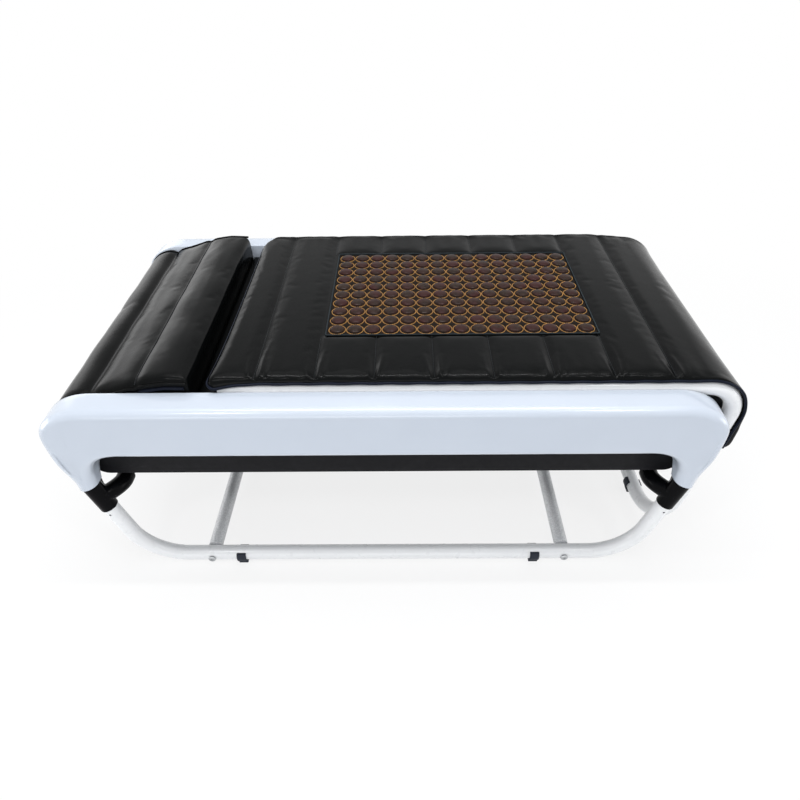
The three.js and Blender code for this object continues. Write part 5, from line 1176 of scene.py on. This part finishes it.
slot_cloth = plan_sheet("slot_cloth", cloth_xs, cloth_ys, cloth_top,
                        lambda x, y: cloth_top(x, y) - CLOTH_THICK)
dress(slot_cloth, "fabric_black", node="roller_slot_cover", angle=60)


# Stone panel

PANEL_LOW_Z, PANEL_CLOTH = 484.6, 1.2
PILLOW_RISE, STAR_RISE, RING_R = 2.9, 1.3, 16.3
BORDER_GAP, BORDER_CORNER, BORDER_R = 1.6, 3, 1.5
DOME_R, DOME_LOW_Z, DOME_HIGH_Z, DOME_WALL = 13.8, 486.4, 491.6, 0.8
STITCHES, STITCH_X, STITCH_Y, STITCH_Z, STITCH_LIFT = 26, 0.95, 1.8, 0.9, 0.35


def spaced(middle, count, pitch):
    return middle + (np.arange(count) - (count - 1) / 2) * pitch


STONES = [(x, y, 0.0) for x in spaced(STONE_X, COLUMNS, PITCH_X) for y in spaced(STONE_Y, ROWS, PITCH_Y)]


def from_nearest(value, middle, count, pitch):
    """How far a place is from the nearest stone along one axis."""
    index = (value - middle) / pitch + (count - 1) / 2
    return (index - np.clip(np.round(index), 0, count - 1)) * pitch


def panel_top(x, y):
    """The quilted cloth: a low pillow round each stone, sewn down along its ring."""
    away = np.hypot(from_nearest(x, STONE_X, COLUMNS, PITCH_X), from_nearest(y, STONE_Y, ROWS, PITCH_Y))
    pillow = PILLOW_RISE * np.clip(1 - (away / RING_R) ** 4, 0, 1)
    star = STAR_RISE * smoothstep(away, RING_R, RING_R + 7)
    edge = np.minimum(PANEL_HALF_X - np.abs(x - STONE_X), PANEL_HALF_Y - np.abs(y - STONE_Y))
    return PANEL_LOW_Z + PANEL_CLOTH + (pillow + star) * smoothstep(edge, 0, 5)


def across_panel(middle, half):
    """Places a step apart from one edge, with the last one at the other edge."""
    step = 1.9
    return [*np.arange(middle - half, middle + half + 0.1, step)[:-1], middle + half]


def border_path():
    """A rectangle with round corners, a little outside the panel."""
    half_x, half_y = (half + BORDER_GAP - BORDER_CORNER for half in (PANEL_HALF_X, PANEL_HALF_Y))
    path = []
    for way_x, way_y, start in ((1, 1, 0), (-1, 1, 1), (-1, -1, 2), (1, -1, 3)):
        for turn in np.linspace(start, start + 1, 5) * QUARTER:
            x = STONE_X + way_x * half_x + BORDER_CORNER * math.cos(turn)
            y = STONE_Y + way_y * half_y + BORDER_CORNER * math.sin(turn)
            path.append((x, y, PANEL_LOW_Z + 2 * BORDER_R))
    return path


def many(name, points, faces, places, turns):
    """One mesh with a copy of a small shape at every place, turned about its own upright line."""
    shapes, every_face = [], []
    for index, (spot, turn) in enumerate(zip(places, turns)):
        c, s = math.cos(turn), math.sin(turn)
        shapes.append(points @ np.array([[c, s, 0], [-s, c, 0], [0, 0, 1]]) + spot)
        every_face += [[i + index * len(points) for i in face] for face in faces]
    return raw(name, shapes, every_face)


def stone_domes(name):
    """Low buttons with a round shoulder and a nearly flat top."""
    sides = 28
    profile = [(DOME_R * 0.97, DOME_LOW_Z), (DOME_R, DOME_LOW_Z + DOME_WALL)]
    for turn in np.linspace(0, QUARTER, 8)[1:]:
        rise = (DOME_HIGH_Z - DOME_LOW_Z - DOME_WALL) * math.sin(turn)
        profile.append((max(DOME_R * math.cos(turn) ** 0.55, 0.02), DOME_LOW_Z + DOME_WALL + rise))
    points = [(r * math.cos(t), r * math.sin(t), z) for r, z in profile for t in full_circle(sides)]
    return many(name, np.array(points), ring_faces(len(profile), sides), STONES, np.zeros(len(STONES)))


def ring_stitches(name):
    """A ring of short stitches round every stone, as one mesh."""
    points = []
    for along, wide in ((-1.0, 0.45), (-0.55, 0.9), (0.55, 0.9), (1.0, 0.45)):
        for t in full_circle(6):
            points.append((STITCH_X * wide * math.cos(t), STITCH_Y * along, STITCH_Z * wide * math.sin(t)))
    turns = np.tile((np.arange(STITCHES) + 0.5) * 2 * HALF_TURN / STITCHES, len(STONES))
    middles = np.repeat(STONES, STITCHES, axis=0)
    x, y = middles[:, 0] + RING_R * np.cos(turns), middles[:, 1] + RING_R * np.sin(turns)
    return many(name, np.array(points), ring_faces(4, 6), stack(x, y, panel_top(x, y) + STITCH_LIFT), turns)


border_cord = sweep("panel_border", border_path(), BORDER_R, 12, closed=True)
dress(border_cord, "border_fabric", "leg_section", angle=60)
field_xs, field_ys = across_panel(STONE_X, PANEL_HALF_X), across_panel(STONE_Y, PANEL_HALF_Y)
stone_field = plan_sheet("stone_field", field_xs, field_ys, panel_top, lambda x, y: PANEL_LOW_Z)
dress(stone_field, "stone_fabric", "leg_section", "stone_panel", angle=60)
dress(stone_domes("stone_domes"), "stones", "leg_section", angle=60)
dress(ring_stitches("ring_stitches"), "gold_thread", "leg_section", angle=60)


# Stage


def softbox(name, place, target, size, power):
    light = bpy.data.lights.new(name, "AREA")
    tune(light, shape="RECTANGLE", size=size[0], size_y=size[1], energy=power)
    obj = linked(name, light)
    obj.location = place
    obj.rotation_euler = (Vector(target) - Vector(place)).to_track_quat("-Z", "Y").to_euler()
    obj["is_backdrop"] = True


FLOOR_HALF, FLOOR_Z = 12.0, -0.0004
floor_mesh = bpy.data.meshes.new("studio_floor")
corners = [(x * FLOOR_HALF, y * FLOOR_HALF, FLOOR_Z) for x, y in ((-1, -1), (1, -1), (1, 1), (-1, 1))]
floor_mesh.from_pydata(corners, [], [(0, 1, 2, 3)])
floor = linked("studio_floor", floor_mesh)
coat(floor, "floor")
floor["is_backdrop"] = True

softbox("overhead", (0.1, 0.1, 3.0), (0, 0, 0.3), (3.4, 2.4), 32)
softbox("hem_strip", (0.0, -0.2, 2.5), (0, 0, 0.4), (1.9, 0.06), 21)
softbox("front_fill", (-0.6, -3.0, 0.5), (0, 0, 0.0), (2.6, 0.8), 14)
softbox("left_low", (-2.6, -0.4, 0.4), (0, 0, 0.15), (1.2, 0.7), 13)
softbox("right_low", (2.9, -0.6, 0.4), (0, 0, 0.15), (1.2, 0.7), 9)
softbox("back_left", (-2.3, 2.4, 1.0), (-0.4, 0, 0.45), (1.7, 1.3), 6)
softbox("left_glint", (-1.1, -1.7, 2.5), (0, 0, 0.4), (0.22, 0.22), 7)
softbox("right_glint", (1.2, -1.5, 2.5), (0, 0, 0.4), (0.22, 0.22), 7)

world = bpy.data.worlds.new("studio")
SCENE.world = world
world.use_nodes = True
sky = world.node_tree
sky.nodes.clear()
soft = add_node(sky, "Background", {"Color": (0.93, 0.96, 1.0), "Strength": 0.5}).outputs[0]
white = add_node(sky, "Background", {"Color": (1, 1, 1), "Strength": 1.0}).outputs[0]
mixed = add_node(sky, "MixShader", {0: white_rays(sky), 1: soft, 2: white}).outputs[0]
add_node(sky, "OutputWorld", {"Surface": mixed})

# The camera, fitted to the straight lines of the photographed bed
PITCH, YAW, ROLL = math.radians(40.09), math.radians(-0.70), math.radians(-0.83)
forward = Vector((math.sin(YAW) * math.cos(PITCH), math.cos(YAW) * math.cos(PITCH), -math.sin(PITCH)))
level = Vector((math.cos(YAW), -math.sin(YAW), 0))
lifted = level.cross(forward)
right = level * math.cos(ROLL) + lifted * math.sin(ROLL)
above = -level * math.sin(ROLL) + lifted * math.cos(ROLL)
camera = tune(bpy.data.cameras.new("photo_camera"), lens=27, sensor_width=36, clip_end=60)
eye = linked("photo_camera", camera)
turned = Matrix((right, above, -forward)).transposed().to_4x4()
eye.matrix_world = Matrix.Translation((0.0417 + SHIFT, -1.1202, 1.1384)) @ turned
SCENE.camera = eye
SCENE.view_settings.view_transform = "Standard"

scene_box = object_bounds()
[[list(corner) for corner in box] for box in (cad_box, scene_box)]
